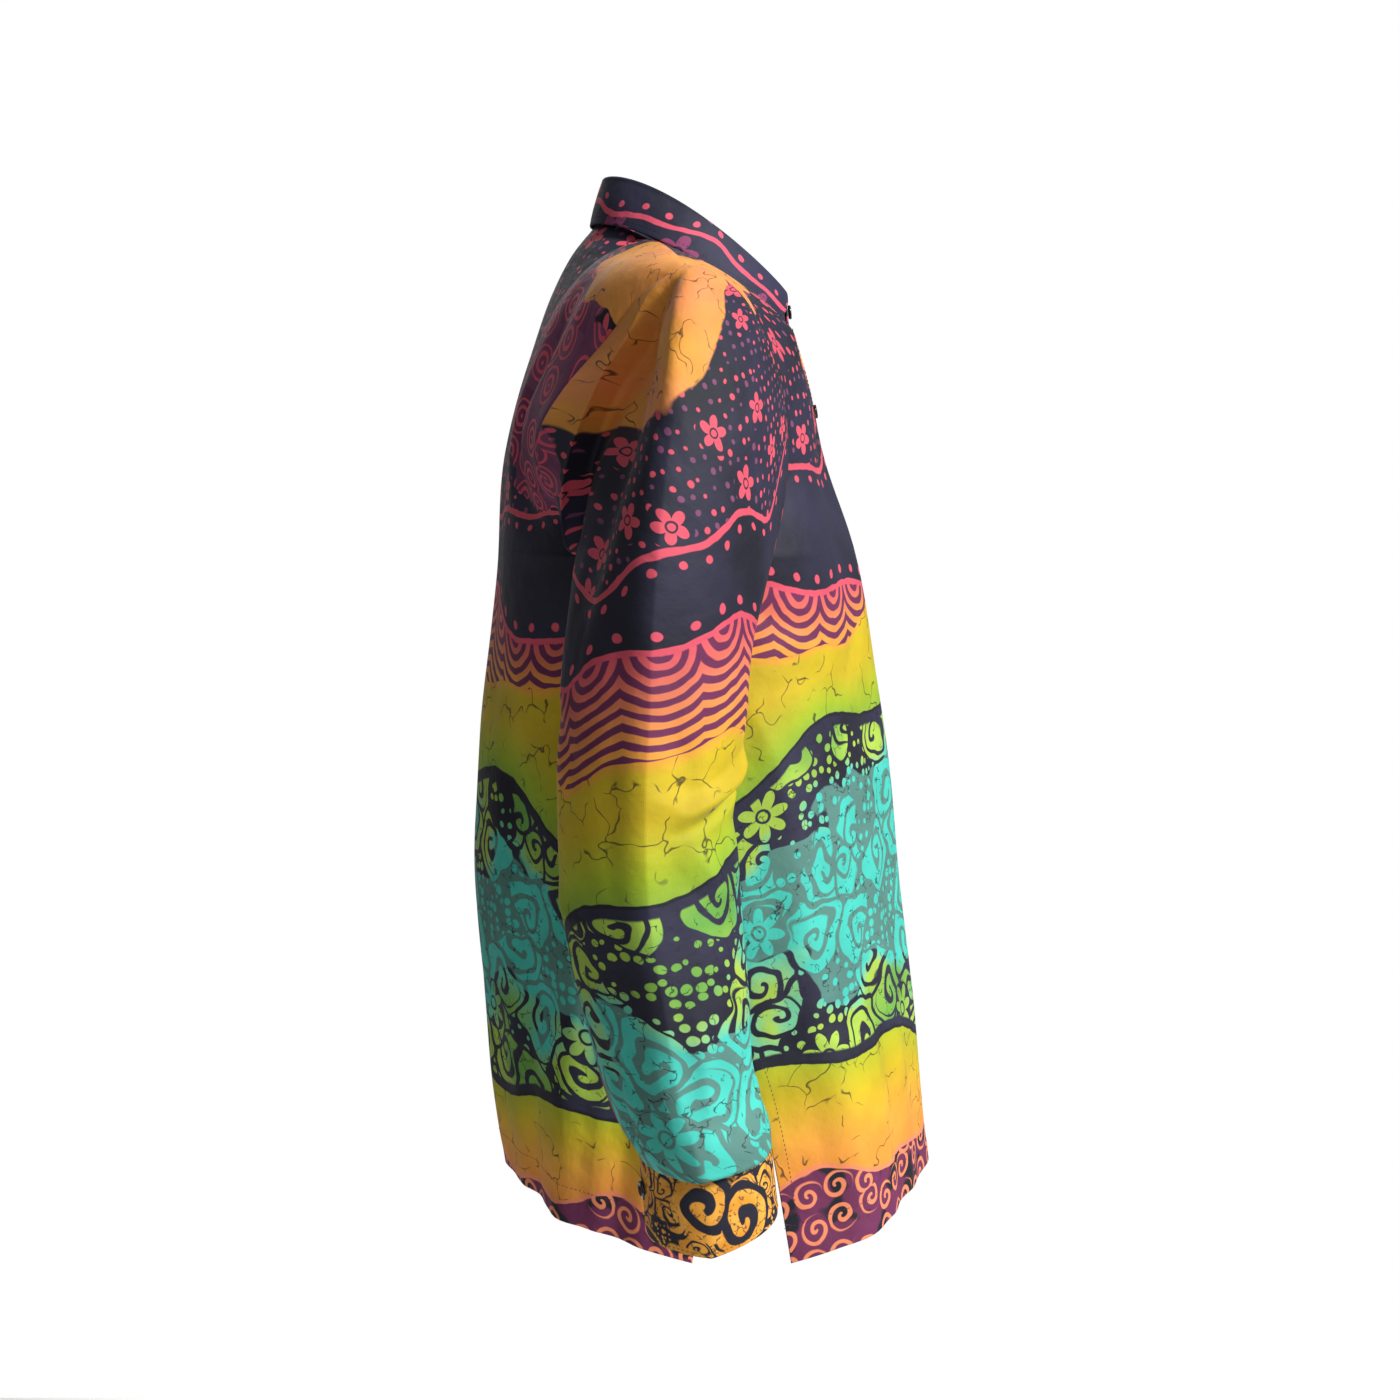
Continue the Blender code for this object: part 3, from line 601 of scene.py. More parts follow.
@dataclass
class BodyPanels:
    """The back and the two fronts: one layer of printed cotton, turned in at its seams."""

    form: ShirtForm
    wall: float = 0.0009
    rows: int = 150
    half_columns: int = 56
    seam_drop: float = 0.0009
    seam_width: float = 0.0030
    hem_calm: tuple = (0.005, 0.05)        # row value where creases start, and over how much
    shoulder_calm: float = 0.12
    seam_calm: float = 0.02                # metres from a seam over which creases start
    edge_calm: tuple = (0.02, 0.04)
    left_creases: float = 0.8              # of those on the right
    ripple_height: float = 0.0011
    ripple_seed: int = 11
    right_edge_x: float = 0.0138
    left_edge_x: float = 0.0141
    back_folds: tuple = (
        Fold(0.66, 0.60, 0.13, 0.14, 0.90, 2.00, -0.008),
        Fold(0.52, 0.46, 0.08, 0.08, -0.60, 1.00, -0.0060),
        Fold(0.66, 0.60, 0.08, 0.08, -0.60, 0.95, 0.0070),
        Fold(0.82, 0.76, 0.08, 0.08, -0.60, 0.90, -0.0060),
        Fold(0.26, 0.24, 0.10, 0.10, -0.60, 0.80, 0.0040))
    front_folds: tuple = (
        Fold(0.22, 0.24, 0.14, 0.16, -0.90, 1.20, 0.0065),
        Fold(0.24, 0.26, 0.16, 0.18, 0.30, 1.60, 0.0060),
        Fold(0.52, 0.56, 0.10, 0.10, -0.60, 1.00, -0.0050),
        Fold(0.74, 0.80, 0.11, 0.11, -0.60, 1.05, 0.0060),
        Fold(0.55, 0.62, 0.34, 0.28, 0.70, 2.05, 0.0070))
    back_creases: tuple = (
        Crease(((0.235, 0.52), (0.205, 0.60), (0.190, 0.66)), 0.016, -0.0030, 1.5),
        Crease(((0.255, 0.50), (0.215, 0.44), (0.150, 0.40)), 0.018, -0.0020, 1.4),
        Crease(((0.250, 0.47), (0.200, 0.40), (0.170, 0.33)), 0.016, 0.0018, 1.4))
    front_creases: tuple = (
        Crease(((0.250, 0.49), (0.200, 0.45), (0.150, 0.43)), 0.016, -0.0022, 1.5),
        Crease(((0.245, 0.52), (0.190, 0.53), (0.140, 0.56)), 0.018, -0.0020, 1.3),
        Crease(((0.255, 0.46), (0.225, 0.38), (0.205, 0.28)), 0.014, 0.0018, 1.5))

    def levels(self) -> Array:
        """Row values of a fine panel."""
        return np.unique(np.round(np.concatenate([
            np.linspace(0.0, 1.0, self.rows * 2 // 3 + 1),
            np.linspace(1.0, 2.0, self.rows // 2 + 1),
            [0.0015, 0.004, 0.008, 1.5, 1.985, 1.993, 1.9975]]), 5))

    def lifts(self, flat: Array, columns: Array, levels: Array, front: bool,
              side: Side) -> Array:
        """All that stands up from or sinks into a smooth half panel.

        Args:
            flat: The flat places of its points.
            columns: Its columns' shares of the width.
            levels: Its row values.
            front: Whether it is a front.
            side: The wearer's side, for creases that differ a little.

        Returns:
            The height at each point.
        """
        folds = self.front_folds if front else self.back_folds
        total = sum(one.lift(columns, levels) for one in folds)
        start, over = self.hem_calm
        fade = ease((levels - start) / over) * ease((2.0 - levels) / self.shoulder_calm)
        edge = flat[:, -1:, 0] - flat[..., 0]
        reach = fade[:, None] * ease(edge / self.seam_calm)
        share = 1.0 if side is Side.RIGHT else self.left_creases
        for one in self.front_creases if front else self.back_creases:
            total = total + one.lift(flat) * reach * share
        seed = self.ripple_seed + 2 * int(front) + int(side is Side.RIGHT)
        start, over = self.edge_calm
        inner = ease((flat[..., 0] - start) / over) if front else 1.0
        total = total + Ripple(self.ripple_height, seed).lift(flat) * reach * inner
        sewn = levels[:, None] > (self.form.vent_top_z - self.form.hem_side_z) / (
            self.form.underarm_z - self.form.hem_side_z)
        total = total - self.seam_drop * np.exp(-(edge / self.seam_width) ** 2) * sewn
        top = flat[-1:, :, 1] - flat[..., 1]
        return total - self.seam_drop * np.exp(-(top / self.seam_width) ** 2)

    def half(self, front: bool, side: Side) -> tuple[Array, Array]:
        """A finished left half and its flat places.

        Args:
            front: Whether it is a front.
            side: The side that it will be on.

        Returns:
            The grid of points and the flat place of each.
        """
        columns = crowded(self.half_columns, front, True, () if front else (self.form.neck_corner,))
        levels = self.levels()
        points = self.form.panel(columns, levels, front)
        flat = unrolled(points)
        normal = outward(points)
        if normal[0, 0, 1] * points[0, 0, 1] < 0.0:
            normal = -normal
        points = points + normal * self.lifts(flat, columns, levels, front, side)[..., None]
        if front:
            edge = -self.right_edge_x if side is Side.RIGHT else self.left_edge_x
            low = levels <= self.form.front_neck_row
            shift = (1.0 - np.clip(points[low, :, 0] / 0.04, 0.0, 1.0)) * edge
            points[low, :, 0] += shift
        return points, flat

    def back(self, finish: Material) -> Object:
        """The back, in one piece from side to side."""
        left, flat = self.half(False, Side.LEFT)
        right, right_flat = self.half(False, Side.RIGHT)
        points = np.concatenate([left[:, ::-1], right[:, 1:] * MIRROR], axis=1)
        flat = np.concatenate([flat[:, ::-1], right_flat[:, 1:] * np.array([-1.0, 1.0])], axis=1)
        piece = cut_cloth("back_panel", points, flat, finish, Slot.BATIK, ("back",), self.wall)
        return piece

    def front(self, side: Side, finish: Material) -> Object:
        """Make one of the fronts.

        Args:
            side: The wearer's side.
            finish: The material.

        Returns:
            The piece.
        """
        name = side.name.lower()
        points, flat = on_side(*self.half(True, side), side, across=-1.0)
        piece = cut_cloth(f"front_panel_{name}", points, flat, finish, Slot.BATIK,
                          (f"front_{name}",), self.wall)
        return piece


def ring_points(ring: tuple, angle: Array | float, inset: Array | float = 0.0) -> Array:
    """Points round a sleeve or cuff: 0 degrees is away from the body, 90 the front.

    Args:
        ring: Height, middle x and y, half width, half depth, tilt in degrees that lifts the front,
            and how far the pressed outer edge stands out and hangs down.
        angle: Degrees round the arm.
        inset: How far the points are drawn in.

    Returns:
        One point for each angle.
    """
    z, axis_x, axis_y, half_width, half_depth, tilt, point, hang = ring
    turn = np.radians(angle)
    forward = np.sin(turn)
    edge = np.clip(1.0 - np.abs((np.asarray(angle) + 180.0) % 360.0 - 180.0) / 90.0, 0.0, 1.0)
    rise = half_depth * forward * math.tan(math.radians(tilt))
    return np.stack([axis_x + (half_width - inset) * np.cos(turn) + point * edge,
                     axis_y - (half_depth - inset) * forward, z + rise - hang * edge], axis=-1)


@dataclass(frozen=True)
class Roll:
    """The fullness behind the armhole: it rolls to a crisp edge and drops into a deep fold."""

    first: float = 0.112       # round the sleeve, from the underarm seam
    last: float = 0.495
    skew: float = 0.72         # below 1 it is fullest low down
    reach: tuple = (           # of the edge from the seam, round the sleeve
        (0.0, 0.006), (0.112, 0.010), (0.135, 0.030), (0.17, 0.043), (0.21, 0.043), (0.24, 0.035),
        (0.27, 0.025), (0.32, 0.013), (0.40, 0.009), (0.495, 0.005), (1.0, 0.005))
    height: float = 0.010
    depth: float = 0.018
    lean: float = 0.010
    lean_low: float = 1.0      # how much more of it there is at the low end, as a share
    after: tuple = ((0.0, 1.0), (0.004, 0.45), (0.008, -0.55), (0.012, -1.0), (0.024, -0.80),
                    (0.045, -0.25), (0.075, 0.0))

    def swell(self, around: Array) -> Array:
        """How full it is at each place round the sleeve, from 0 to 1."""
        share = np.clip((around - self.first) / (self.last - self.first), 0.0, 1.0)
        return np.sin(math.pi * share ** self.skew)

    def edge(self, around: Array) -> Array:
        """How far its edge lies from the seam."""
        return np.interp(around, *zip(*self.reach))

    def shape(self, down: Array, around: Array) -> tuple[Array, Array]:
        """Its height and its lean at each place.

        Args:
            down: Distances from the armhole seam, rows of points.
            around: The columns' places round the sleeve.

        Returns:
            The height along the normal, and the shift down the cloth.
        """
        swell, edge = self.swell(around)[None, :], np.maximum(self.edge(around), 0.004)[None, :]
        rising = np.clip(down / edge, 0.0, 1.0) ** 0.8
        past = np.interp(down - edge, *zip(*self.after))
        past = np.where(past < 0.0, past * self.depth / self.height, past)
        height = np.where(down < edge, rising, past) * self.height * swell
        tip = np.clip(1.0 - np.abs(down - edge) / np.where(down < edge, edge, 0.012), 0.0, 1.0)
        share = np.clip((around - self.first) / (self.last - self.first), 0.0, 1.0)[None, :]
        return height, tip * self.lean * (1.0 + self.lean_low * (1.0 - share)) * swell


@dataclass
class Sleeve:
    """A sleeve with its pressed crease, its elbow pinch and the fullness above the cuff."""

    form: ShirtForm
    wall: float = 0.0009
    rings: tuple = (
        (-0.330, 0.270, 0.0240, 0.0500, 0.0620, 0.0, 0.000, 0.0000),
        (-0.395, 0.275, 0.0272, 0.0480, 0.0608, 0.0, 0.000, 0.0000),
        (-0.462, 0.280, 0.0245, 0.0460, 0.0602, 4.0, 0.000, 0.0000),
        (-0.529, 0.284, 0.0140, 0.0440, 0.0555, 8.0, 0.001, 0.0005),
        (-0.594, 0.287, 0.0020, 0.0420, 0.0490, 6.0, 0.002, 0.0025),
        (-0.614, 0.288, -0.0060, 0.0430, 0.0490, 3.0, 0.003, 0.0045),
        (-0.6287, 0.288, -0.0110, 0.0390, 0.0455, 0.5, 0.005, 0.0060))
    cap_rows: int = 70
    rows: int = 140
    columns: int = 120
    cap_fullness: float = 0.36
    roll: Roll = Roll()
    elbow_z: float = -0.405
    elbow_slant: float = 0.012
    elbow_spread: float = 0.014
    elbow_pinch: float = 0.003
    pressed_height: float = 0.0120         # of the crease ironed down the outer side
    pressed_half_width: float = 0.055
    pressed_from: tuple = (0.08, 0.16)     # metres down where it starts, and over how much
    seam_calm: float = 0.02                # metres from a seam over which creases start
    seam_width: float = 0.0030
    armhole_drop: float = 0.0008
    underarm_drop: float = 0.0006
    left_creases: float = 0.85             # of those on the right
    ripple_seed: int = 31
    coarse_cap: float = 9.0 / 24.0         # the folds' rows count the cap as this share
    coarse_power: float = 0.8
    folds: tuple = (
        Fold(0.50, 0.48, 0.055, 0.055, -0.40, 1.45, 0.0040),
        Fold(0.40, 0.30, 0.060, 0.070, 0.02, 0.42, -0.0050),
        Fold(0.72, 0.76, 0.060, 0.060, 0.10, 0.50, 0.0030))
    creases: tuple = (         # across from the underarm seam, down from the cap
        Crease(((0.118, 0.04), (0.100, 0.10), (0.076, 0.17)), 0.020, -0.0034, 1.2),
        Crease(((0.200, 0.03), (0.215, 0.10), (0.240, 0.17)), 0.018, -0.0022, 1.2),
        Crease(((0.262, 0.06), (0.248, 0.12), (0.236, 0.20)), 0.016, 0.0016, 1.2),
        Crease(((0.290, 0.362), (0.235, 0.372), (0.194, 0.380), (0.176, 0.364)), 0.013, 0.0062,
               1.0),
        Crease(((0.300, 0.374), (0.235, 0.382), (0.190, 0.390)), 0.0075, -0.0075, 1.0),
        Crease(((0.190, 0.388), (0.204, 0.418), (0.222, 0.448)), 0.014, 0.0044, 1.0),
        Crease(((0.190, 0.386), (0.196, 0.350), (0.186, 0.318)), 0.012, -0.0030, 1.0),
        Crease(((0.075, 0.300), (0.110, 0.330), (0.135, 0.350)), 0.016, -0.0022, 1.2),
        Crease(((0.060, 0.420), (0.095, 0.440), (0.130, 0.452)), 0.016, 0.0018, 1.2),
        Crease(((0.108, 0.618), (0.106, 0.575), (0.112, 0.520)), 0.009, -0.0032, 1.1),
        Crease(((0.124, 0.618), (0.128, 0.560), (0.134, 0.490)), 0.010, -0.0026, 1.1),
        Crease(((0.150, 0.618), (0.160, 0.565), (0.176, 0.500)), 0.010, 0.0034, 1.1),
        Crease(((0.166, 0.618), (0.180, 0.580), (0.204, 0.548)), 0.009, -0.0032, 1.1),
        Crease(((0.186, 0.618), (0.198, 0.590), (0.222, 0.572)), 0.009, 0.0026, 1.1))

    def ring(self, z: float, angle: Array) -> Array:
        """A ring of the sleeve: 0 degrees is away from the body, 90 the front."""
        return ring_points((z, *through(self.rings, z)[0]), angle)

    def head(self, angle: Array) -> Array:
        """The armhole's point at each angle."""
        angle = np.asarray(angle) % 360.0
        front = self.form.armhole(1.0 - np.clip(angle / 180.0, 0.0, 1.0), back=False)
        back = self.form.armhole(np.clip(angle / 180.0 - 1.0, 0.0, 1.0), back=True)
        return np.where((angle <= 180.0)[:, None], front, back)

    def cap(self, step: float, angle: Array) -> Array:
        """Draw a row of the sleeve between the armhole and its first ring.

        Args:
            step: How far down the cap it is, from 0 to 1.
            angle: Degrees round the arm.

        Returns:
            One point for each angle.
        """
        turn = np.radians(angle)
        head, ring = self.head(angle), self.ring(self.rings[0][0], angle)
        forward = -0.25 * np.maximum(np.sin(turn), 0.0) - 0.90 * np.maximum(-np.sin(turn), 0.0) ** 2
        leave = np.stack([0.70 + 0.20 * np.cos(turn), forward, -0.58 + 0.18 * np.cos(turn)],
                         axis=-1)
        span = length_of(ring - head)
        edge = np.maximum(self.roll.edge((angle - 180.0) / 360.0), 0.012)[:, None] / span / 1.08
        fold = edge + 0.012 / span / 1.08
        share = np.where(step < 0.3, edge * step / 0.3,
                         np.where(step < 0.42, edge + (fold - edge) * (step - 0.3) / 0.12,
                                  fold + (1.0 - fold) * (step - 0.42) / 0.58))
        reach = span * self.cap_fullness
        handles = (head, head + unit(leave) * reach, ring + np.array([0.0, 0.0, 1.0]) * reach, ring)
        weights = ((1 - share)**3, 3 * share * (1 - share)**2, 3 * share**2 * (1 - share),
                   share**3)
        return sum(weight * handle for weight, handle in zip(weights, handles))

    def smooth(self, around: Array, shares: Array, heights: Array) -> Array:
        """Shape the sleeve with no folds, its rows running down to the cuff.

        Args:
            around: The columns' places round the sleeve.
            shares: The cap's rows, from 0 to 1.
            heights: The heights of the rows below it.

        Returns:
            The grid of points.
        """
        angle = 180.0 + 360.0 * around
        cap = [self.cap(share, angle) for share in shares]
        return np.array(cap + [self.ring(z, angle) for z in heights])

    def points(self, side: Side) -> tuple[Array, Array]:
        """Shape the left sleeve.

        Args:
            side: The side that it will be on.

        Returns:
            The grid of points and the flat place of each.
        """
        around = np.union1d(np.linspace(0.0, 1.0, self.columns + 1), (0.4975, 0.5025))
        shares = np.union1d(np.linspace(0.0, 1.0, self.cap_rows + 1), (0.02, 0.05, 0.29, 0.31))
        heights = np.linspace(self.rings[0][0], self.rings[-1][0], self.rows + 1)[1:]
        rows = self.smooth(around, shares, heights)
        coarse = np.interp(np.arange(len(rows)), (0, len(shares) - 1, len(rows) - 1),
                           (0.0, self.coarse_cap, 1.0))
        coarse[:len(shares)] = shares ** self.coarse_power * self.coarse_cap
        flat = self.flat(rows, around)
        lift = sum(one.lift(around, coarse) for one in self.folds)
        angle = 180.0 + 360.0 * around
        pinch_z = self.elbow_z - self.elbow_slant * np.cos(np.radians(angle))[None, :]
        pinch = np.exp(-((rows[:, :, 2] - pinch_z) / self.elbow_spread) ** 2)
        lift = lift - self.elbow_pinch * pinch * np.clip(np.sin(np.radians(angle)), 0, 1)[None, :]
        height, lean = self.roll.shape(flat[..., 1] - flat[:1, :, 1], around)
        lift = lift + height
        tangent = unit(np.gradient(rows, axis=0))
        down = flat[..., 1]
        seam = np.minimum(flat[..., 0], flat[:, -1:, 0] - flat[..., 0])
        fade = math.prod(ease(away / self.seam_calm)
                         for away in (down, flat[-1:, :, 1] - down, seam))
        share = 1.0 if side is Side.RIGHT else self.left_creases
        for one in self.creases:
            lift = lift + one.lift(flat) * fade * share
        outer = np.abs(flat[..., 0] - flat[:, -1:, 0] / 2.0) / self.pressed_half_width
        start, over = self.pressed_from
        pressed = np.clip(1.0 - outer, 0.0, 1.0) * ease((down - start) / over)
        lift = lift + self.pressed_height * pressed
        lift = lift + Ripple(seed=self.ripple_seed + int(side is Side.RIGHT)).lift(flat) * fade
        for drop, away in ((self.armhole_drop, down), (self.underarm_drop, seam)):
            lift = lift - drop * np.exp(-(away / self.seam_width) ** 2)
        lift[:, -1] = lift[:, 0]
        normal = outward(rows)
        normal[:, 0] = normal[:, -1] = (normal[:, 0] + normal[:, -1]) / 2.0
        return rows + normal * lift[..., None] + tangent * lean[..., None], flat

    @staticmethod
    def flat(rows: Array, around: Array) -> Array:
        """Lay the sleeve flat.

        Args:
            rows: Its grid.
            around: The columns' places round the sleeve.

        Returns:
            Each point's place: across from the underarm seam, down from the cap's
            top.
        """
        girth = length_of(np.diff(rows, axis=1))[..., 0].sum(axis=1)
        across = around[None, :] * girth[:, None]
        along = risen(rows, across)
        return np.stack([across, along + (along[-1].max() - along[-1:])], axis=-1)

    def build(self, side: Side, finish: Material,
              binding: Object) -> Object:
        """Make one sleeve.

        Args:
            side: The wearer's side.
            finish: The material.
            binding: The binding of its opening; not used.

        Returns:
            The piece.
        """
        name = side.name.lower()
        points, flat = on_side(*self.points(side), side)
        upwards = np.stack([flat[..., 0], flat[..., 1].max() - flat[..., 1]], axis=-1)
        piece = cut_cloth(f"sleeve_panel_{name}", points, upwards, finish, Slot.BATIK,
                          (f"sleeve_{name}",), self.wall, closed=True)
        return piece


@dataclass
class Cuff:
    """A buttoned cuff of doubled contrast cloth, its far end lapped under."""

    wall: float = 0.0016
    top: tuple = (-0.6290, 0.288, -0.0115, 0.0380, 0.0450, 0.5, 0.007, 0.006)
    bottom: tuple = (-0.6785, 0.288, -0.0160, 0.0345, 0.0455, 7.5, 0.008, 0.0135)
    opening: float = 274.0
    overlap: float = 26.0
    columns: int = 150
    rows: int = 26
    tuck: float = 0.0024
    metres_a_degree: float = 0.0007
    button_share: float = 0.42             # of the way down
    ripple: Ripple = Ripple(0.0004, 51)

    def ring(self, share: float) -> Array:
        """The cuff's ring at a share of the way down."""
        return np.array(self.top) + (np.array(self.bottom) - np.array(self.top)) * share

    def points(self) -> Array:
        """The left cuff's outer face, rows running down."""
        angle = np.linspace(self.opening, self.opening + 360.0 + self.overlap, self.columns + 1)
        tuck = self.tuck * ease((angle - (angle[-1] - self.overlap * 1.9)) / (self.overlap * 0.8))
        ends = np.minimum(angle - angle[0], angle[-1] - angle) * self.metres_a_degree
        rows = []
        shares = np.union1d(np.linspace(0, 1, self.rows + 1), (0.008, 0.02, 0.98, 0.992))
        for share in shares:
            edge = min(share, 1.0 - share) * (self.top[0] - self.bottom[0])
            rounded = (0.0006 * np.exp(-(edge / 0.0012) ** 2)
                       + 0.0004 * np.exp(-(ends / 0.0015) ** 2))
            stitched = 0.00035 * math.exp(-((edge - 0.0025) / 0.0012) ** 2)
            rows.append(ring_points(self.ring(share), angle, tuck + rounded + stitched))
        points = np.array(rows)
        flat = unrolled(points)
        return points + outward(points) * self.ripple.lift(flat)[..., None]

    def build(self, side: Side, finish: Material) -> Object:
        """Make one cuff.

        Args:
            side: The wearer's side.
            finish: The material.

        Returns:
            The piece.
        """
        name = side.name.lower()
        points = self.points()
        points, flat = on_side(points, unrolled(points), side)
        piece = cut_cloth(f"cuff_band_{name}", points, flat, finish, Slot.CONTRAST,
                          (f"cuff_{name}",), self.wall)
        return piece

    def button_place(self) -> tuple[Array, Array]:
        """Where the left cuff's button lies, and the way that it faces."""
        angle, ring = self.opening + self.overlap / 2.0, self.ring(self.button_share)
        spot = ring_points(ring, angle)
        across = ring_points(ring, angle + 1.0) - spot
        facing = np.cross(spot - ring_points(self.ring(1.0), angle), across)
        return spot, unit(facing)


@dataclass
class Collar:
    """A turn-down collar: a stand, and a leaf that rolls over its top."""

    form: ShirtForm
    wall: float = 0.0014
    below_fold: float = 0.0040
    fold: NeckOval = NeckOval(0.058, (0.066, 0.054), (-0.075, -0.034), 1.48)
    edge: NeckOval = NeckOval(0.077, (0.078, 0.017), (-0.080, -0.061), 1.40)
    fold_end: float = 168.0
    edge_end: float = 152.0
    columns: int = 150
    stand_lap: float = 8.0
    stand_lift: float = 0.0006
    stand_tuck: float = 0.0024
    leaf_bulge: float = 0.0012
    sewn_edge: float = 0.0005
    ripple: Ripple = Ripple(0.0005, 61, shortest=0.05, longest=0.12)
    roll_rows: int = 15
    roll: tuple = (
        (0.0, -0.0018, -0.0030), (0.25, -0.0014, -0.0010), (0.5, 0.0002, 0.0),
        (0.75, 0.0018, -0.0008), (1.0, 0.0026, -0.0030))

    def rolled(self, angle: Array, out: float, up: float) -> Array:
        """A line of the leaf out of and above the collar's fold."""
        return (self.fold.at(angle) + np.array([0.0, 0.0, up])
                + self.fold.out(angle, self.form.neck.back[0]) * out)

    def stand_points(self) -> Array:
        """The stand from its bottom up; its left end lies over its right end."""
        angle = np.linspace(180.0 + self.stand_lap, -180.0 - self.stand_lap, self.columns + 1)
        lap = 2.0 * self.stand_lap
        tuck = self.stand_tuck * ease((-angle - (-angle[-1] - lap * 1.9)) / (lap * 0.8))
        out = self.fold.out(angle, self.form.neck.back[0])
        low = self.form.neck.at(angle) + np.array([0.0, 0.0, self.stand_lift])
        rise = self.fold.at(angle) - low
        high = low + rise * (1.0 - self.below_fold / length_of(rise))
        shares = np.linspace(0.0, 1.0, 13)
        return np.array([high + (low - high) * share - out * tuck[:, None]
                         for share in shares])[:, ::-1]

    def leaf_points(self) -> Array:
        """The leaf: up from the stand's inner face, over the fold and down to its edge."""
        share, rows = np.linspace(-1.0, 1.0, self.columns + 1), []
        for out, up in through(self.roll, np.linspace(0.0, 1.0, self.roll_rows)):
            rows.append(self.rolled(share * self.fold_end, out, up))
        falls = np.unique(np.concatenate([np.linspace(0.0, 1.0, 25)[1:], [0.955, 0.972, 0.988]]))
        for fall in falls:
            angle = share * (self.fold_end + (self.edge_end - self.fold_end) * fall)
            top = self.rolled(angle, *self.roll[-1][1:])
            bulge = self.edge.out(angle, self.edge.back[0]) * self.leaf_bulge
            sewn = self.sewn_edge * math.exp(-((1.0 - fall) / 0.02) ** 2)
            rows.append(top + (self.edge.at(angle) - top) * fall
                        + bulge * (math.sin(math.pi * fall) - sewn / self.leaf_bulge))
        points = np.array(rows)
        lift = self.ripple.lift(unrolled(points))
        lift *= ease((np.arange(len(points)) - self.roll_rows + 1.0) / 12.0)[:, None]
        return points + outward(points) * lift[..., None]

    def build(self, finish: Material) -> list[Object]:
        """The stand and the leaf."""
        made = []
        for name, node, points, size in (
                ("collar_stand_band", "collar_stand", self.stand_points(), (0.45, 0.030)),
                ("collar_leaf_fold", "collar_leaf", self.leaf_points(), (0.46, 0.052))):
            piece = cut_cloth(name, points, unrolled(points), finish, Slot.BATIK, (node,),
                              self.wall)
            made.append(piece)
        return made


@dataclass
class FrontBand:
    """The doubled contrast band down the meeting edges of the fronts."""

    form: ShirtForm
    wall: float = 0.0015
    outer_face: float = 0.0021
    half_width: float = 0.0165
    rows: int = 180

    def points(self) -> Array:
        """The band's outer face, rows running up."""
        top = self.form.neck.front[1] - 0.0003
        heights = np.linspace(self.form.front_hem_z, top, self.rows + 1)
        y = through(self.form.front_line, heights)[:, 0] - self.outer_face
        inner = np.linspace(-1.0, 1.0, 13)
        x = np.unique(np.concatenate([inner, [-0.985, -0.95, 0.95, 0.985]])) * self.half_width
        edge = self.half_width - np.abs(x)
        drop = (0.0005 * np.exp(-(edge / 0.0010) ** 2)
                + 0.0003 * np.exp(-((edge - 0.002) / 0.0010) ** 2))
        return np.stack([np.broadcast_to(x, (len(y), len(x))), y[:, None] + drop[None, :],
                         np.broadcast_to(heights[:, None], (len(y), len(x)))], axis=-1)

    def build(self, finish: Material) -> Object:
        """The band."""
        points = self.points()
        piece = cut_cloth("front_band_strip", points, unrolled(points), finish, Slot.CONTRAST,
                          ("front_band",), self.wall)
        return piece

    def button_places(self, count: int, first_z: float, last_z: float,
                      reach: float) -> list[tuple[Array, Array]]:
        """Where the front buttons lie, and the way that each faces.

        Args:
            count: How many there are.
            first_z: The highest one's height.
            last_z: The lowest one's height.
            reach: A button's radius, over which the band's slope is taken.

        Returns:
            A spot and a unit vector for each button.
        """
        places = []
        for z in np.linspace(first_z, last_z, count):
            above, below = through(self.form.front_line, (z + reach, z - reach))[:, 0]
            facing = np.array([0.0, -2.0 * reach, above - below])
            spot = np.array([0.0, through(self.form.front_line, z)[0, 0] - self.outer_face, z])
            places.append((spot, unit(facing)))
        return places


# ---------------------------------------------------------------- finishes


def linear(colour: str) -> tuple[float, float, float, float]:
    """Turn an sRGB hex colour into a linear one with full alpha."""
    parts = [int(colour[i:i + 2], 16) / 255.0 for i in (1, 3, 5)]
    return (*[c / 12.92 if c <= 0.04045 else ((c + 0.055) / 1.055) ** 2.4 for c in parts], 1.0)


def fill(tree: NodeTree, node: Node, values: dict) -> None:
    """Set a node's inputs or link sockets to them.

    Args:
        tree: The node's tree.
        node: The node.
        values: Numbers, colours or sockets by the input's name or number; None skips one.
    """
    for key, value in values.items():
        if isinstance(value, Socket):
            tree.links.new(value, node.inputs[key])
        elif value is not None:
            node.inputs[key].default_value = value


def add(tree: NodeTree, kind: str | tuple, values: tuple = (), named: dict | None = None,
        output: int | str | None = 0, **settings: object) -> Socket | Node:
    """Add a node with its settings and links.

    Args:
        tree: The tree that it goes in.
        kind: The node's type, or its type and operation.
        values: Numbers, colours or sockets for its first inputs, in order.
        named: The same for inputs by name or number.
        output: Which output to return, or None for the node.
        **settings: The node's own properties.

    Returns:
        The output socket, or the node.
    """
    if isinstance(kind, tuple):
        kind, settings["operation"] = kind
    node = tree.nodes.new(kind)
    for key, value in settings.items():
        setattr(node, key, value)
    fill(tree, node, {**dict(enumerate(values)), **(named or {})})
    return node if output is None else node.outputs[output]


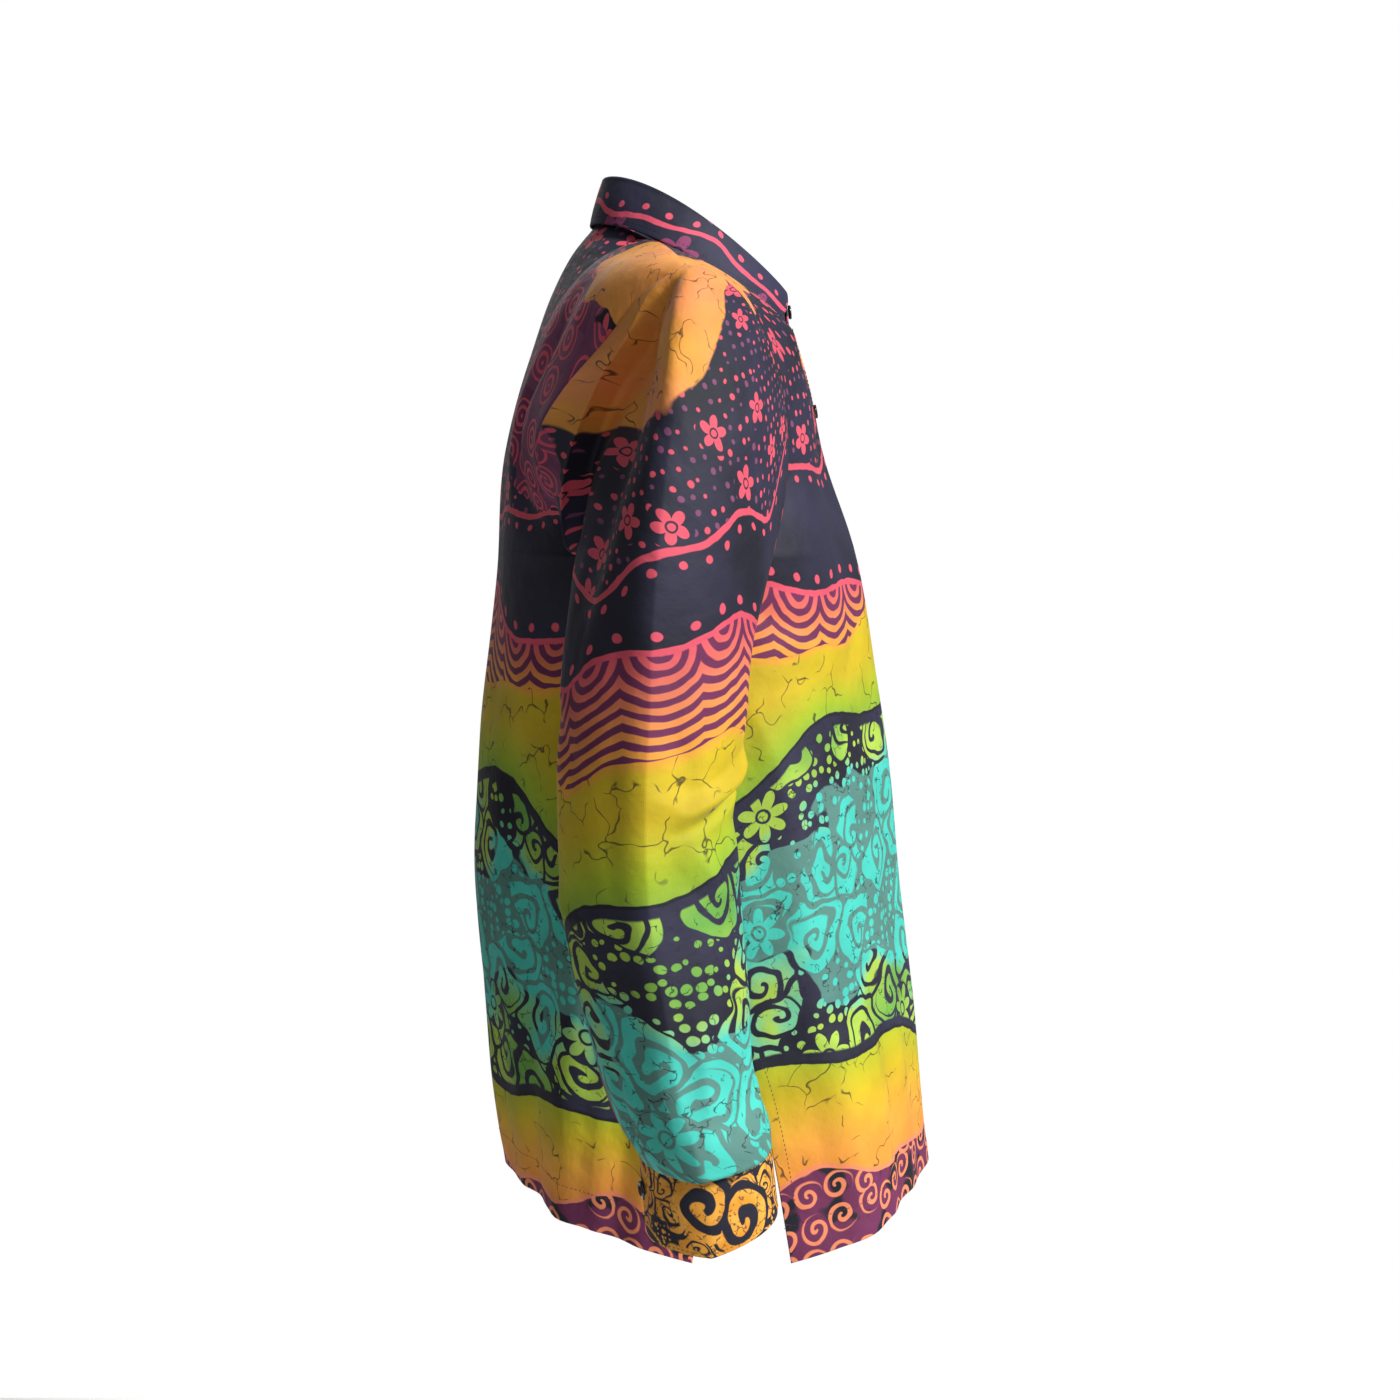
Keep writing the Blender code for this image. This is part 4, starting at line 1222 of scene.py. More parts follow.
MATH, MIX, RANGE = "ShaderNodeMath", "ShaderNodeMixRGB", "ShaderNodeMapRange"
XYZ, VORONOI, NOISE = "ShaderNodeCombineXYZ", "ShaderNodeTexVoronoi", "ShaderNodeTexNoise"
VECTOR, PARTS, BUMP = "ShaderNodeVectorMath", "ShaderNodeSeparateXYZ", "ShaderNodeBump"
SHADER = "Principled BSDF"
PLUS, MINUS, TIMES, RATIO, TIMES_PLUS, WRAP, ABSOLUTE, SINE, COSINE, ANGLE, OVER, LARGER = (
    (MATH, operation) for operation in
    ("ADD", "SUBTRACT", "MULTIPLY", "DIVIDE", "MULTIPLY_ADD", "WRAP", "ABSOLUTE", "SINE", "COSINE",
     "ARCTAN2", "GREATER_THAN", "MAXIMUM"))
VECTOR_PLUS, VECTOR_MINUS, VECTOR_TIMES, VECTOR_LENGTH = (
    (VECTOR, operation) for operation in ("ADD", "SUBTRACT", "SCALE", "LENGTH"))


@dataclass(frozen=True)
class Cell:
    """A place on the cloth seen from the middle of its own motif, in metres and turns."""

    radius: Socket
    turn: Socket       # 0 to 1 round the middle
    edge: Socket       # how far away the next cell is
    chance: Socket
    other_chance: Socket


@dataclass(frozen=True)
class Wave:
    """A line that waves across the cloth, in flat metres."""

    level: float
    swing: float
    length: float
    start: float = 0.0     # in radians


class Drawing:
    """Wax-drawn lines, dots and areas on the cloth's flat metres."""

    def __init__(self, tree: NodeTree, wobble: float = 0.0006) -> None:
        """Start from the piece's UV map, with the slight wobble of a hand-held wax pen."""
        self.add = partial(add, tree)
        self.place = self.add("ShaderNodeUVMap", uv_map="cloth")
        self.place = self.bent(0.014, wobble)
        parts = self.add(PARTS, (self.place,), output=None)
        self.u, self.v = parts.outputs[0], parts.outputs[1]

    def below(self, value: Socket, edge: float | Socket, soft: float = 0.0004) -> Socket:
        """1 where value is below edge and 0 above it, over a soft step."""
        short = self.add(MINUS, (edge, value))
        return self.add(RANGE, (short, -soft, soft), interpolation_type="SMOOTHSTEP")

    def line(self, value: Socket, half_width: float, soft: float = 0.0004) -> Socket:
        """A stroke where value is near 0."""
        away = self.add(ABSOLUTE, (value,))
        return self.below(away, half_width, soft)

    def above(self, line: Socket) -> Socket:
        """How far the place lies above a line."""
        return self.add(MINUS, (self.v, line))

    def away(self, x: Socket, y: Socket) -> Socket:
        """How far the place lies from the middle that x and y are measured from."""
        return self.add(VECTOR_LENGTH, (self.add(XYZ, (x, y)),), output="Value")

    def coil(self, coils: Socket, pitch: float) -> Socket:
        """How far the place lies from the nearest coil of a line, coils pitches out."""
        wrapped = self.add(WRAP, (coils, 0.5, -0.5))
        return self.add(TIMES, (wrapped, pitch))

    def both(self, one: Socket, other: Socket | float) -> Socket:
        """Where one mask and another both hold."""
        return self.add(TIMES, (one, other))

    def either(self, one: Socket, other: Socket) -> Socket:
        """Where one mask or another holds."""
        return self.add(LARGER, (one, other))

    def without(self, one: Socket, other: Socket) -> Socket:
        """Where one mask holds and the other doesn't."""
        rest = self.add(MINUS, (1.0, other))
        return self.both(one, rest)

    def cloud(self, size: float, low: float = 0.35, high: float = 0.65,
              shift: float = 0.0) -> Socket:
        """Draw soft uneven patches.

        Args:
            size: About how broad they are.
            low: The noise that gives 0.
            high: The noise that gives 1.
            shift: Where they are read from.

        Returns:
            Their strength, from 0 to 1.
        """
        offset = self.add(VECTOR_PLUS, (self.place, (shift, shift, shift)))
        noise = self.add(NOISE, named={"Vector": offset, "Scale": 1.0 / size, "Detail": 2.0},
                         noise_dimensions="3D")
        return self.add(RANGE, (noise, low, high), interpolation_type="SMOOTHSTEP")

    def wave(self, wave: Wave) -> Socket:
        """A hand-drawn waving line across the cloth: its height v at each u."""
        height = wave.level
        for share in (1.0, 0.43):
            pace = math.tau / wave.length / share
            turn = self.add(TIMES_PLUS, (self.u, pace, wave.start / share))
            swing = self.add(SINE, (turn,))
            height = self.add(TIMES_PLUS, (swing, wave.swing * share, height))
        return height

    def bent(self, size: float, reach: float) -> Socket:
        """Push the place on the cloth about over soft hills.

        Args:
            size: How broad the hills are.
            reach: How far it is pushed at most.

        Returns:
            The place.
        """
        drift = self.add(NOISE, named={"Vector": self.place, "Scale": 1.0 / size, "Detail": 1.0},
                         output="Color", noise_dimensions="2D")
        centred = self.add(VECTOR_MINUS, (drift, (0.5, 0.5, 0.5)))
        moved = self.add(VECTOR_TIMES, (centred,), {"Scale": reach * 4.0})
        return self.add(VECTOR_PLUS, (self.place, moved))

    def cell(self, size: float, randomness: float = 0.6, shift: float = 0.0,
             bend: float = 0.0) -> Cell:
        """Scatter motif middles about size apart and see the cloth from the nearest one.

        Args:
            size: How far apart the middles are.
            randomness: 0 for a grid, 1 for no order.
            shift: Moves the whole scatter, so that two differ.
            bend: How far the cells' shapes are pushed about.

        Returns:
            The cloth seen from the nearest middle.
        """
        place = self.bent(size * 0.8, bend) if bend else self.place
        place = self.add(VECTOR_PLUS, (place, (shift, shift * 1.7, 0.0)))
        inputs = {"Vector": place, "Scale": 1.0 / size, "Randomness": randomness}
        spots = self.add(VORONOI, named=inputs, output=None, voronoi_dimensions="2D")
        border = self.add(VORONOI, named=inputs, voronoi_dimensions="2D",
                          feature="DISTANCE_TO_EDGE")
        local = self.add(VECTOR_MINUS, (place, spots.outputs["Position"]))
        parts = self.add(PARTS, (local,), output=None)
        radius = self.add(VECTOR_LENGTH, (local,), output="Value")
        angle = self.add(ANGLE, (parts.outputs[1], parts.outputs[0]))
        turn = self.add(RANGE, (angle, -math.pi, math.pi), clamp=False)
        edge = self.add(TIMES, (border, size))
        chances = self.add("ShaderNodeSeparateColor", (spots.outputs["Color"],), output=None)
        return Cell(radius, turn, edge, chances.outputs[0], chances.outputs[1])

    def dot(self, cell: Cell, least: float, most: float) -> Socket:
        """A dot of chance size in each cell."""
        size = self.add(RANGE, (cell.chance, 0.0, 1.0, least, most))
        return self.below(cell.radius, size, 0.00035)

    def blossom(self, cell: Cell, petals: int, size: float) -> Socket:
        """Draw an open flower with a ringed eye, turned by chance.

        Args:
            cell: Its place.
            petals: How many petals it has.
            size: Its radius.

        Returns:
            The mask.
        """
        spin = self.add(PLUS, (cell.turn, cell.chance))
        angle = self.add(TIMES, (spin, math.pi * petals))
        lobe = self.add(ABSOLUTE, (self.add(COSINE, (angle,)),))
        reach = self.add(TIMES_PLUS, (lobe, size * 0.60, size * 0.40))
        rim = self.add(MINUS, (cell.radius, size * 0.26))
        return self.without(self.below(cell.radius, reach), self.line(rim, size * 0.055))

    def spiral(self, cell: Cell, pitch: float, width: float, reach: float) -> Socket:
        """Draw a curl of one line winding out, either way round by chance.

        Args:
            cell: Its place.
            pitch: How far apart its coils are.
            width: How broad its line is.
            reach: Its radius.

        Returns:
            The mask.
        """
        hand = self.add(OVER, (cell.other_chance, 0.5))
        sign = self.add(RANGE, (hand, 0.0, 1.0, -1.0, 1.0))
        wound = self.add(TIMES, (cell.turn, sign))
        spun = self.add(PLUS, (wound, cell.chance))
        coils = self.add(RATIO, (cell.radius, pitch))
        phase = self.add(MINUS, (coils, spun))
        across = self.coil(self.add(MINUS, (phase, 0.5)), pitch)
        return self.both(self.line(across, width / 2.0), self.below(cell.radius, reach, 0.0008))

    def rings(self, cell: Cell, pitch: float, share: float, reach: float) -> Socket:
        """Draw rings within rings."""
        coils = self.add(RATIO, (cell.radius, pitch))
        return self.both(self.line(self.coil(coils, pitch), pitch * share / 2.0),
                         self.below(cell.radius, reach))

    def beads(self, line: Socket, spacing: float, rise: float, radius: float) -> Socket:
        """Draw a row of dots along a line.

        Args:
            line: The line's height.
            spacing: How far apart they are.
            rise: How far above the line they are.
            radius: Their radius.

        Returns:
            The mask.
        """
        wrapped = self.add(WRAP, (self.u, spacing / 2.0, -spacing / 2.0))
        height = self.add(MINUS, (self.above(line), rise))
        return self.below(self.away(wrapped, height), radius)

    def arcs(self, line: Socket, spacing: float, pitch: float, half_width: float) -> Socket:
        """Draw arcs within arcs, in a row of fans that hang from a line.

        Args:
            line: The line's height.
            spacing: How far apart the fans are.
            pitch: How far apart the arcs are.
            half_width: Half the width of an arc.

        Returns:
            The mask.
        """
        wrapped = self.add(WRAP, (self.u, spacing / 2.0, -spacing / 2.0))
        across = self.add(WRAP, (self.away(wrapped, self.above(line)), pitch / 2.0, -pitch / 2.0))
        return self.line(across, half_width)

    def leaves(self, size: float, shift: float) -> Socket:
        """Draw packed rounded leaves with a curl in each, some left out for small beads.

        Args:
            size: How far apart they are.
            shift: Where they are read from.

        Returns:
            The mask.
        """
        leaf = self.cell(size, 0.80, shift, bend=size * 0.13)
        curl = self.spiral(leaf, size * 0.27, size * 0.10, size * 0.46)
        left_out = self.below(leaf.chance, 0.12)
        body = self.without(self.below(leaf.radius, size * 0.60),
                            self.below(leaf.edge, size * 0.045))
        beads = self.cell(size * 0.19, 0.7, shift)
        bead = self.both(self.dot(beads, size * 0.035, size * 0.080),
                         self.below(beads.other_chance, 0.7))
        bare = self.add(MINUS, (1.0, self.below(leaf.radius, size * 0.66)))
        return self.either(self.without(self.without(body, curl), left_out),
                           self.both(bead, self.either(left_out, bare)))

    def crackle(self, size: float, half_width: float, rare: float) -> Socket:
        """Draw broken veins where the wax cracked and let the dye in.

        Args:
            size: How far apart they are.
            half_width: Half the width of one.
            rare: The higher, the fewer of them.

        Returns:
            The mask.
        """
        veins = self.add(VORONOI, named={"Vector": self.bent(size * 0.6, size * 0.20),
                                         "Scale": 1.0 / size},
                         feature="DISTANCE_TO_EDGE", voronoi_dimensions="2D")
        across = self.add(TIMES, (veins, size))
        broken = self.cloud(size * 0.9, rare, rare + 0.08, 3.1)
        return self.both(self.below(across, half_width, half_width * 0.8), broken)

    def over(self, under: Socket | str, dye: Socket | str, mask: Socket) -> Socket:
        """Lay one dye over another where the mask holds."""
        under, dye = (linear(one) if isinstance(one, str) else one for one in (under, dye))
        return self.add(MIX, (mask, under, dye))

    def blot(self, centre: tuple, reach: tuple, uneven: float = 0.5, shift: float = 1.3) -> Socket:
        """A broad dyed patch with an uneven edge.

        Args:
            centre: Its middle, in flat metres.
            reach: Its half width and half height.
            uneven: How far its edge wanders, as a share of its reach.
            shift: Where its unevenness is read from.

        Returns:
            The mask.
        """
        x = self.add(MINUS, (self.u, centre[0]))
        y = self.add(MINUS, (self.v, centre[1]))
        away = self.away(self.add(RATIO, (x, reach[0])), self.add(RATIO, (y, reach[1])))
        wander = self.cloud(0.055, 0.3, 0.7, shift)
        edge = self.add(TIMES_PLUS, (wander, uneven, 1.0 - uneven / 2.0))
        return self.below(away, edge, 0.012)


@dataclass(frozen=True)
class CottonCloth:
    """Plain-woven cotton: matte, a slight sheen from the pressed surface, a faint weave."""

    roughness: float = 0.68
    specular: float = 0.35
    sheen: float = 0.06
    sheen_roughness: float = 0.4
    weave_mm: float = 0.9      # real thread spacing is 0.35, drawn coarser so that it shows
    weave_height: float = 0.00006
    crumple_mm: float = 22.0
    crumple_height: float = 0.0015

    def dress(self, tree: NodeTree, colour: Socket) -> None:
        """Finish a tree with the cotton's surface.

        Args:
            tree: The material's tree, with its shader in it.
            colour: The dyed colour.
        """
        flat = add(tree, "ShaderNodeUVMap", uv_map="cloth")
        scale = 1000.0 / self.weave_mm / 3.18
        warp = add(tree, "ShaderNodeTexWave", named={"Vector": flat, "Scale": scale},
                   output="Fac", bands_direction="X")
        weft = add(tree, "ShaderNodeTexWave", named={"Vector": flat, "Scale": scale},
                   output="Fac", bands_direction="Y")
        threads = add(tree, TIMES, (warp, weft))
        crumple = add(tree, NOISE, named={"Vector": flat, "Scale": 1000.0 / self.crumple_mm,
                                          "Detail": 3.0, "Roughness": 0.45}, noise_dimensions="2D")
        fine = add(tree, BUMP, named={"Strength": 1.0, "Distance": self.weave_height,
                                      "Height": threads}, output="Normal")
        both = add(tree, BUMP, named={"Strength": 1.0, "Distance": self.crumple_height,
                                      "Height": crumple, "Normal": fine}, output="Normal")
        fill(tree, tree.nodes[SHADER],
             {"Base Color": colour, "Roughness": self.roughness, "Normal": both,
              "Specular IOR Level": self.specular, "Sheen Weight": self.sheen,
              "Sheen Roughness": self.sheen_roughness})


def new_material(name: str) -> Material:
    """An empty material with a shader to dress."""
    made = bpy.data.materials.new(name)
    made.use_nodes = True
    return made


@dataclass(frozen=True)
class Layout:
    """Where a piece's print changes, down the cloth."""

    glow: tuple            # orange patches: centre, reach and unevenness
    plum: tuple            # a patch of ringed discs: centre and reach
    line: Wave             # drawn line under the dotted field
    fans_top: Wave
    band_top: Wave
    band_bottom: Wave
    foot_top: Wave
    foot_bottom: Wave


@dataclass(frozen=True)
class BatikPrint:
    """Hand-drawn wax-resist print: dyes laid one over another, cracked where it is light."""

    name: str
    layout: Layout
    cotton: CottonCloth = field(default_factory=CottonCloth)
    navy: str = "#2a2940"
    night: str = "#181826"
    coral: str = "#df5468"
    mauve: str = "#7d4468"
    plum: str = "#6d2a52"
    orange: str = "#ee8438"
    amber: str = "#eda23a"
    yellow: str = "#cdb21a"
    lime: str = "#9db522"
    leaf: str = "#68a544"
    pale_leaf: str = "#a6c74a"
    turquoise: str = "#45c6b6"
    water: str = "#55857c"
    salmon: str = "#f08c62"
    vein: str = "#33261c"
    dot_spacing: float = 0.0104
    dot_radii: tuple = (0.0014, 0.0026)
    blossom_spacing: float = 0.052
    blossom_radius: float = 0.0120
    disc_spacing: float = 0.030
    disc_radius: float = 0.0136
    ring_pitch: float = 0.0066
    fan_spacing: float = 0.046
    arc_pitch: float = 0.0096
    arc_half_width: float = 0.0024
    leaf_spacing: float = 0.044
    flower_spacing: float = 0.115
    flower_radius: float = 0.0185
    curl_spacing: float = 0.023
    curl_pitch: float = 0.0076
    curl_width: float = 0.0030
    curl_radius: float = 0.0112
    crack_spacing: float = 0.026
    fine_crack_spacing: float = 0.0100
    crack_strength: float = 0.85

    def mixed(self, draw: Drawing, share: Socket, *dyes: tuple[float, str]) -> Socket:
        """Run dyes into one another.

        Args:
            draw: The drawing.
            share: Where along them each place is.
            dyes: Shares and colours, from the lowest share up.

        Returns:
            The colour.
        """
        colour = dyes[0][1]
        for (low, _), (high, dye) in zip(dyes, dyes[1:]):
            colour = draw.over(colour, dye, draw.add(RANGE, (share, low, high)))
        return colour

    def masks(self, draw: Drawing) -> dict[str, Socket]:
        """Find where each area of the print lies.

        Args:
            draw: The drawing.

        Returns:
            Masks by the area's name, lines by name and _v, and shares of the way up
            an area by name and _share.
        """
        plan = self.layout
        lines = {name: draw.wave(getattr(plan, name))
                 for name in ("line", "fans_top", "band_top", "band_bottom", "foot_top",
                              "foot_bottom")}
        under = {name: draw.below(draw.v, line) for name, line in lines.items()}
        masks: dict[str, Socket] = {f"{name}_v": line for name, line in lines.items()}
        masks["glow"] = draw.blot(*plan.glow[0])
        for place in plan.glow[1:]:
            masks["glow"] = draw.either(masks["glow"], draw.blot(*place))
        masks["plum"] = draw.without(draw.blot(*plan.plum, shift=7.3), masks["glow"])
        bare = draw.add(MINUS, (1.0, draw.either(masks["glow"], masks["plum"])))
        masks["field"] = draw.without(bare, under["line"])
        masks["fans"] = draw.without(under["fans_top"], under["band_top"])
        masks["band"] = draw.without(under["band_top"], under["band_bottom"])
        masks["scroll"] = draw.without(under["band_bottom"], under["foot_top"])
        masks["foot"] = draw.without(under["foot_top"], under["foot_bottom"])
        masks["hem"] = under["foot_bottom"]
        for name in ("band", "foot", "scroll"):
            low, high = {"band": ("band_bottom", "band_top"), "foot": ("foot_bottom", "foot_top"),
                         "scroll": ("foot_top", "band_bottom")}[name]
            masks[f"{name}_share"] = draw.add(RANGE, (draw.v, lines[low], lines[high]))
        return masks

    def scrolls(self, draw: Drawing, masks: dict[str, Socket], colour: Socket) -> Socket:
        """Lay leaves and flowers over the lower navy area, with a pool of pale dye in it.

        Args:
            draw: The drawing.
            masks: Where each area lies.
            colour: The dyes so far.

        Returns:
            The dyes with them.
        """
        ink = draw.leaves(self.leaf_spacing, 3.3)
        big = draw.cell(self.flower_spacing, 0.6, 0.83)
        disc = draw.both(draw.below(big.radius, 0.0200), draw.below(big.chance, 0.7))
        flower = draw.both(draw.blossom(big, 7, self.flower_radius), disc)
        ink = draw.either(draw.without(ink, disc), flower)
        inside = draw.without(draw.below(draw.above(masks["band_bottom_v"]), -0.0085, 0.0010),
                              draw.below(draw.above(masks["foot_top_v"]), 0.0075, 0.0010))
        middle = draw.add(MINUS, (masks["scroll_share"], 0.5))
        apart = draw.add(ABSOLUTE, (middle,))
        uneven = draw.add(TIMES_PLUS, (draw.cloud(0.070, 0.3, 0.7, 8.2), 0.30, apart))
        pool = draw.both(draw.below(uneven, 0.40, 0.006), inside)
        green = self.mixed(draw, draw.cloud(0.10, 0.3, 0.7, 9.4), (0.0, self.leaf),
                           (0.5, self.pale_leaf))
        wet = draw.over(self.turquoise, green, draw.add(RANGE, (uneven, 0.38, 0.52)))
        colour = draw.over(colour, self.water, pool)
        return draw.over(colour, wet, draw.both(ink, inside))

    def build(self) -> Material:
        """Draw the print and finish the cloth."""
        made = new_material(self.name)
        draw = Drawing(made.node_tree)
        masks = self.masks(draw)
        colour = draw.over(self.navy, self.night, draw.cloud(0.09, 0.35, 0.7, 0.7))
        # scattered dots and blossoms on the navy field
        wide = draw.cell(self.blossom_spacing, 0.60, 0.31)
        clear = draw.without(masks["field"], draw.below(wide.radius, 0.0150))
        fine = draw.cell(self.dot_spacing, 0.50)
        shade = draw.over(self.coral, self.mauve, draw.add(OVER, (fine.other_chance, 0.55)))
        colour = draw.over(colour, shade, draw.both(draw.dot(fine, *self.dot_radii), clear))
        colour = draw.over(colour, self.coral,
                           draw.both(draw.blossom(wide, 5, self.blossom_radius), masks["field"]))
        # ringed discs on plum
        disc = draw.cell(self.disc_spacing, 0.50, 0.77)
        rims = draw.over(self.plum, self.mauve, disc.other_chance)
        rings = draw.rings(disc, self.ring_pitch, 0.44, self.disc_radius)
        rims = draw.over(rims, self.coral, rings)
        colour = draw.over(colour, rims, masks["plum"])
        # orange patch
        warm = self.mixed(draw, draw.cloud(0.06, 0.3, 0.7, 4.4), (-0.4, self.salmon),
                          (1.1, self.amber))
        colour = draw.over(colour, warm, masks["glow"])
        # fans of arcs that hang over the band
        colour = draw.over(colour, self.plum, masks["fans"])
        fans = draw.arcs(masks["fans_top_v"], self.fan_spacing, self.arc_pitch, self.arc_half_width)
        fade = draw.add(RANGE, (draw.v, masks["band_top_v"], masks["fans_top_v"]))
        wax = self.mixed(draw, fade, (0.0, self.amber), (1.0, self.coral))
        colour = draw.over(colour, wax, draw.both(fans, masks["fans"]))
        # the bright bands, and the leaves between them
        ramp = self.mixed(draw, masks["band_share"], (-0.25, self.leaf), (0.16, self.lime),
                          (0.60, self.yellow), (0.90, self.yellow), (1.0, self.amber))
        colour = draw.over(colour, ramp, masks["band"])
        colour = self.scrolls(draw, masks, colour)
        low = self.mixed(draw, masks["foot_share"], (-0.3, self.orange), (0.25, self.amber),
                         (0.70, self.yellow), (1.1, self.lime))
        colour = draw.over(colour, low, masks["foot"])
        hem = draw.over(self.night, self.plum, draw.cloud(0.03, 0.47, 0.53, 5.0))
        colour = draw.over(colour, hem, masks["hem"])
        curls = draw.spiral(draw.cell(self.curl_spacing, 0.55, 1.1), self.curl_pitch,
                            self.curl_width, self.curl_radius)
        colour = draw.over(colour, self.salmon, draw.both(curls, masks["hem"]))
        # cracks in the light areas, the finest among the leaves
        light = draw.either(draw.either(masks["band"], masks["foot"]), masks["glow"])
        veins = draw.both(draw.crackle(self.crack_spacing, 0.00050, 0.46), light)
        colour = draw.over(colour, self.vein, draw.both(veins, self.crack_strength))
        veins = draw.both(draw.crackle(self.fine_crack_spacing, 0.00038, 0.50), masks["scroll"])
        colour = draw.over(colour, self.night, draw.both(veins, self.crack_strength))
        # the drawn lines between the areas
        for name, dye, width in (("line_v", self.coral, 0.0023), ("fans_top_v", self.coral, 0.0021),
                                 ("foot_bottom_v", self.salmon, 0.0016)):
            seen = draw.without(draw.line(draw.above(masks[name]), width), masks["glow"])
            colour = draw.over(colour, dye, seen)
        for name in ("band_bottom_v", "foot_top_v"):
            colour = draw.over(colour, self.night, draw.line(draw.above(masks[name]), 0.0012))
        beads = draw.either(draw.beads(masks["line_v"], 0.019, -0.0095, 0.0028),
                            draw.beads(masks["fans_top_v"], 0.023, 0.0100, 0.0032))
        colour = draw.over(colour, self.coral, draw.without(beads, masks["glow"]))
        # the dyes never take evenly
        patchy = draw.add(RANGE, (draw.cloud(0.035, 0.2, 0.8, 2.9), 0.0, 1.0, 0.86, 1.06))
        colour = draw.add(VECTOR_TIMES, (colour,), {"Scale": patchy})
        self.cotton.dress(made.node_tree, colour)
        return made


@dataclass(frozen=True)
class CollarPrint:
    """Navy cotton with a waving coral line, dots and blossoms, on the collar."""

    name: str = "batik_cotton_collar"
    cotton: CottonCloth = field(default_factory=CottonCloth)
    navy: str = "#2f2e48"
    night: str = "#1c1c2c"
    coral: str = "#e0566e"
    mauve: str = "#8b3c66"
    line: Wave = Wave(0.024, 0.0055, 0.135, 0.6)

    def build(self) -> Material:
        """Draw the line and finish the cloth."""
        made = new_material(self.name)
        draw = Drawing(made.node_tree)
        colour = draw.over(self.navy, self.night, draw.cloud(0.08, 0.35, 0.7))
        line = draw.wave(self.line)
        round_ones = draw.cell(0.066, 0.3, 0.17)
        colour = draw.over(colour, self.mauve, draw.blossom(round_ones, 5, 0.0160))
        drawn = draw.either(draw.line(draw.above(line), 0.0022),
                            draw.beads(line, 0.021, -0.0085, 0.0027))
        colour = draw.over(colour, self.coral, drawn)
        self.cotton.dress(made.node_tree, colour)
        return made


@dataclass(frozen=True)
class ContrastPrint:
    """Mustard cotton with navy wax-resist curls, on the cuffs and the band."""

    name: str = "batik_cotton_contrast"
    cotton: CottonCloth = field(default_factory=CottonCloth)
    navy: str = "#1c1c2c"
    mustard: str = "#e09428"
    amber: str = "#f2ae44"
    curl_size: float = 0.050

    def build(self) -> Material:
        """Draw the curls and finish the cloth."""
        made = new_material(self.name)
        draw = Drawing(made.node_tree)
        dye = draw.over(self.mustard, self.amber, draw.cloud(0.02, 0.35, 0.65))
        curls = draw.cell(self.curl_size, 0.6, 0.11, 0.004)
        drawn = draw.spiral(curls, 0.0145, 0.0078, self.curl_size * 0.46)
        outside = draw.below(curls.radius, self.curl_size * 0.44)
        drawn = draw.either(drawn, draw.without(draw.leaves(0.019, 0.6), outside))
        drawn = draw.without(drawn, draw.both(draw.crackle(0.007, 0.00040, 0.46), 0.8))
        self.cotton.dress(made.node_tree, draw.over(self.navy, dye, drawn))
        return made


@dataclass(frozen=True)
class SpunThread:
    """Twisted polyester sewing thread, a little glossier than the cloth."""

    name: str
    colour: str
    roughness: float = 0.5
    twists_a_metre: float = 900.0     # one in 1.1 mm

    def build(self) -> Material:
        """The thread's material."""
        made = new_material(self.name)
        tree = made.node_tree
        place = add(tree, "ShaderNodeTexCoord", output="Object")
        uneven = add(tree, NOISE, named={"Vector": place, "Scale": self.twists_a_metre})
        dark = tuple(c * 0.7 for c in linear(self.colour)[:3]) + (1.0,)
        colour = add(tree, MIX, (uneven, dark, linear(self.colour)))
        fill(tree, tree.nodes[SHADER], {"Base Color": colour, "Roughness": self.roughness})
        return made


@dataclass(frozen=True)
class CastResin:
    """Cast polyester resin buttons: turned, polished and almost black, with a faint cloud."""

    name: str = "button_resin_polished"
    dark: str = "#0b0b10"
    cloud: str = "#20202a"
    clouds_a_metre: float = 260.0     # one in 3.8 mm
    roughness: float = 0.16
    ior: float = 1.55
    polish: float = 0.4
    polish_roughness: float = 0.08

    def build(self) -> Material:
        """The button's material."""
        made = new_material(self.name)
        tree = made.node_tree
        place = add(tree, "ShaderNodeTexCoord", output="Object")
        noise = add(tree, NOISE, named={"Vector": place, "Scale": self.clouds_a_metre,
                                        "Detail": 2.0})
        colour = add(tree, MIX, (noise, linear(self.dark), linear(self.cloud)))
        fill(tree, tree.nodes[SHADER],
             {"Base Color": colour, "Roughness": self.roughness, "IOR": self.ior,
              "Coat Weight": self.polish, "Coat Roughness": self.polish_roughness})
        return made


@dataclass(frozen=True)
class PlainDyedCotton:
    """Narrow cotton binding, dyed one colour that varies a little."""

    name: str
    light: str
    deep: str
    cotton: CottonCloth = field(default_factory=CottonCloth)

    def build(self) -> Material:
        """The binding's material."""
        made = new_material(self.name)
        draw = Drawing(made.node_tree)
        colour = draw.over(self.light, self.deep, draw.cloud(0.012, 0.3, 0.7))
        self.cotton.dress(made.node_tree, colour)
        return made


# ---------------------------------------------------------------- sewing and buttons


def line_on(points: Array, places: Array, at: Array) -> Array:
    """A line on the cloth, through one point of each of its rows."""
    return np.array([[np.interp(x, place, row[:, k]) for k in range(3)]
                     for x, place, row in zip(at, places, points)])


def along_row(points: Array, flat: Array, height: float, from_top: bool = False) -> Array:
    """A line on the cloth at an even distance from its first or last row.

    Args:
        points: The cloth's grid.
        flat: Its flat places.
        height: The distance, in metres.
        from_top: Whether it is taken from the last row.

    Returns:
        The line's points, one a column.
    """
    v = flat[..., 1].T
    at = v[:, -1] - height if from_top else v[:, 0] + height
    return line_on(points.transpose(1, 0, 2), v, at)


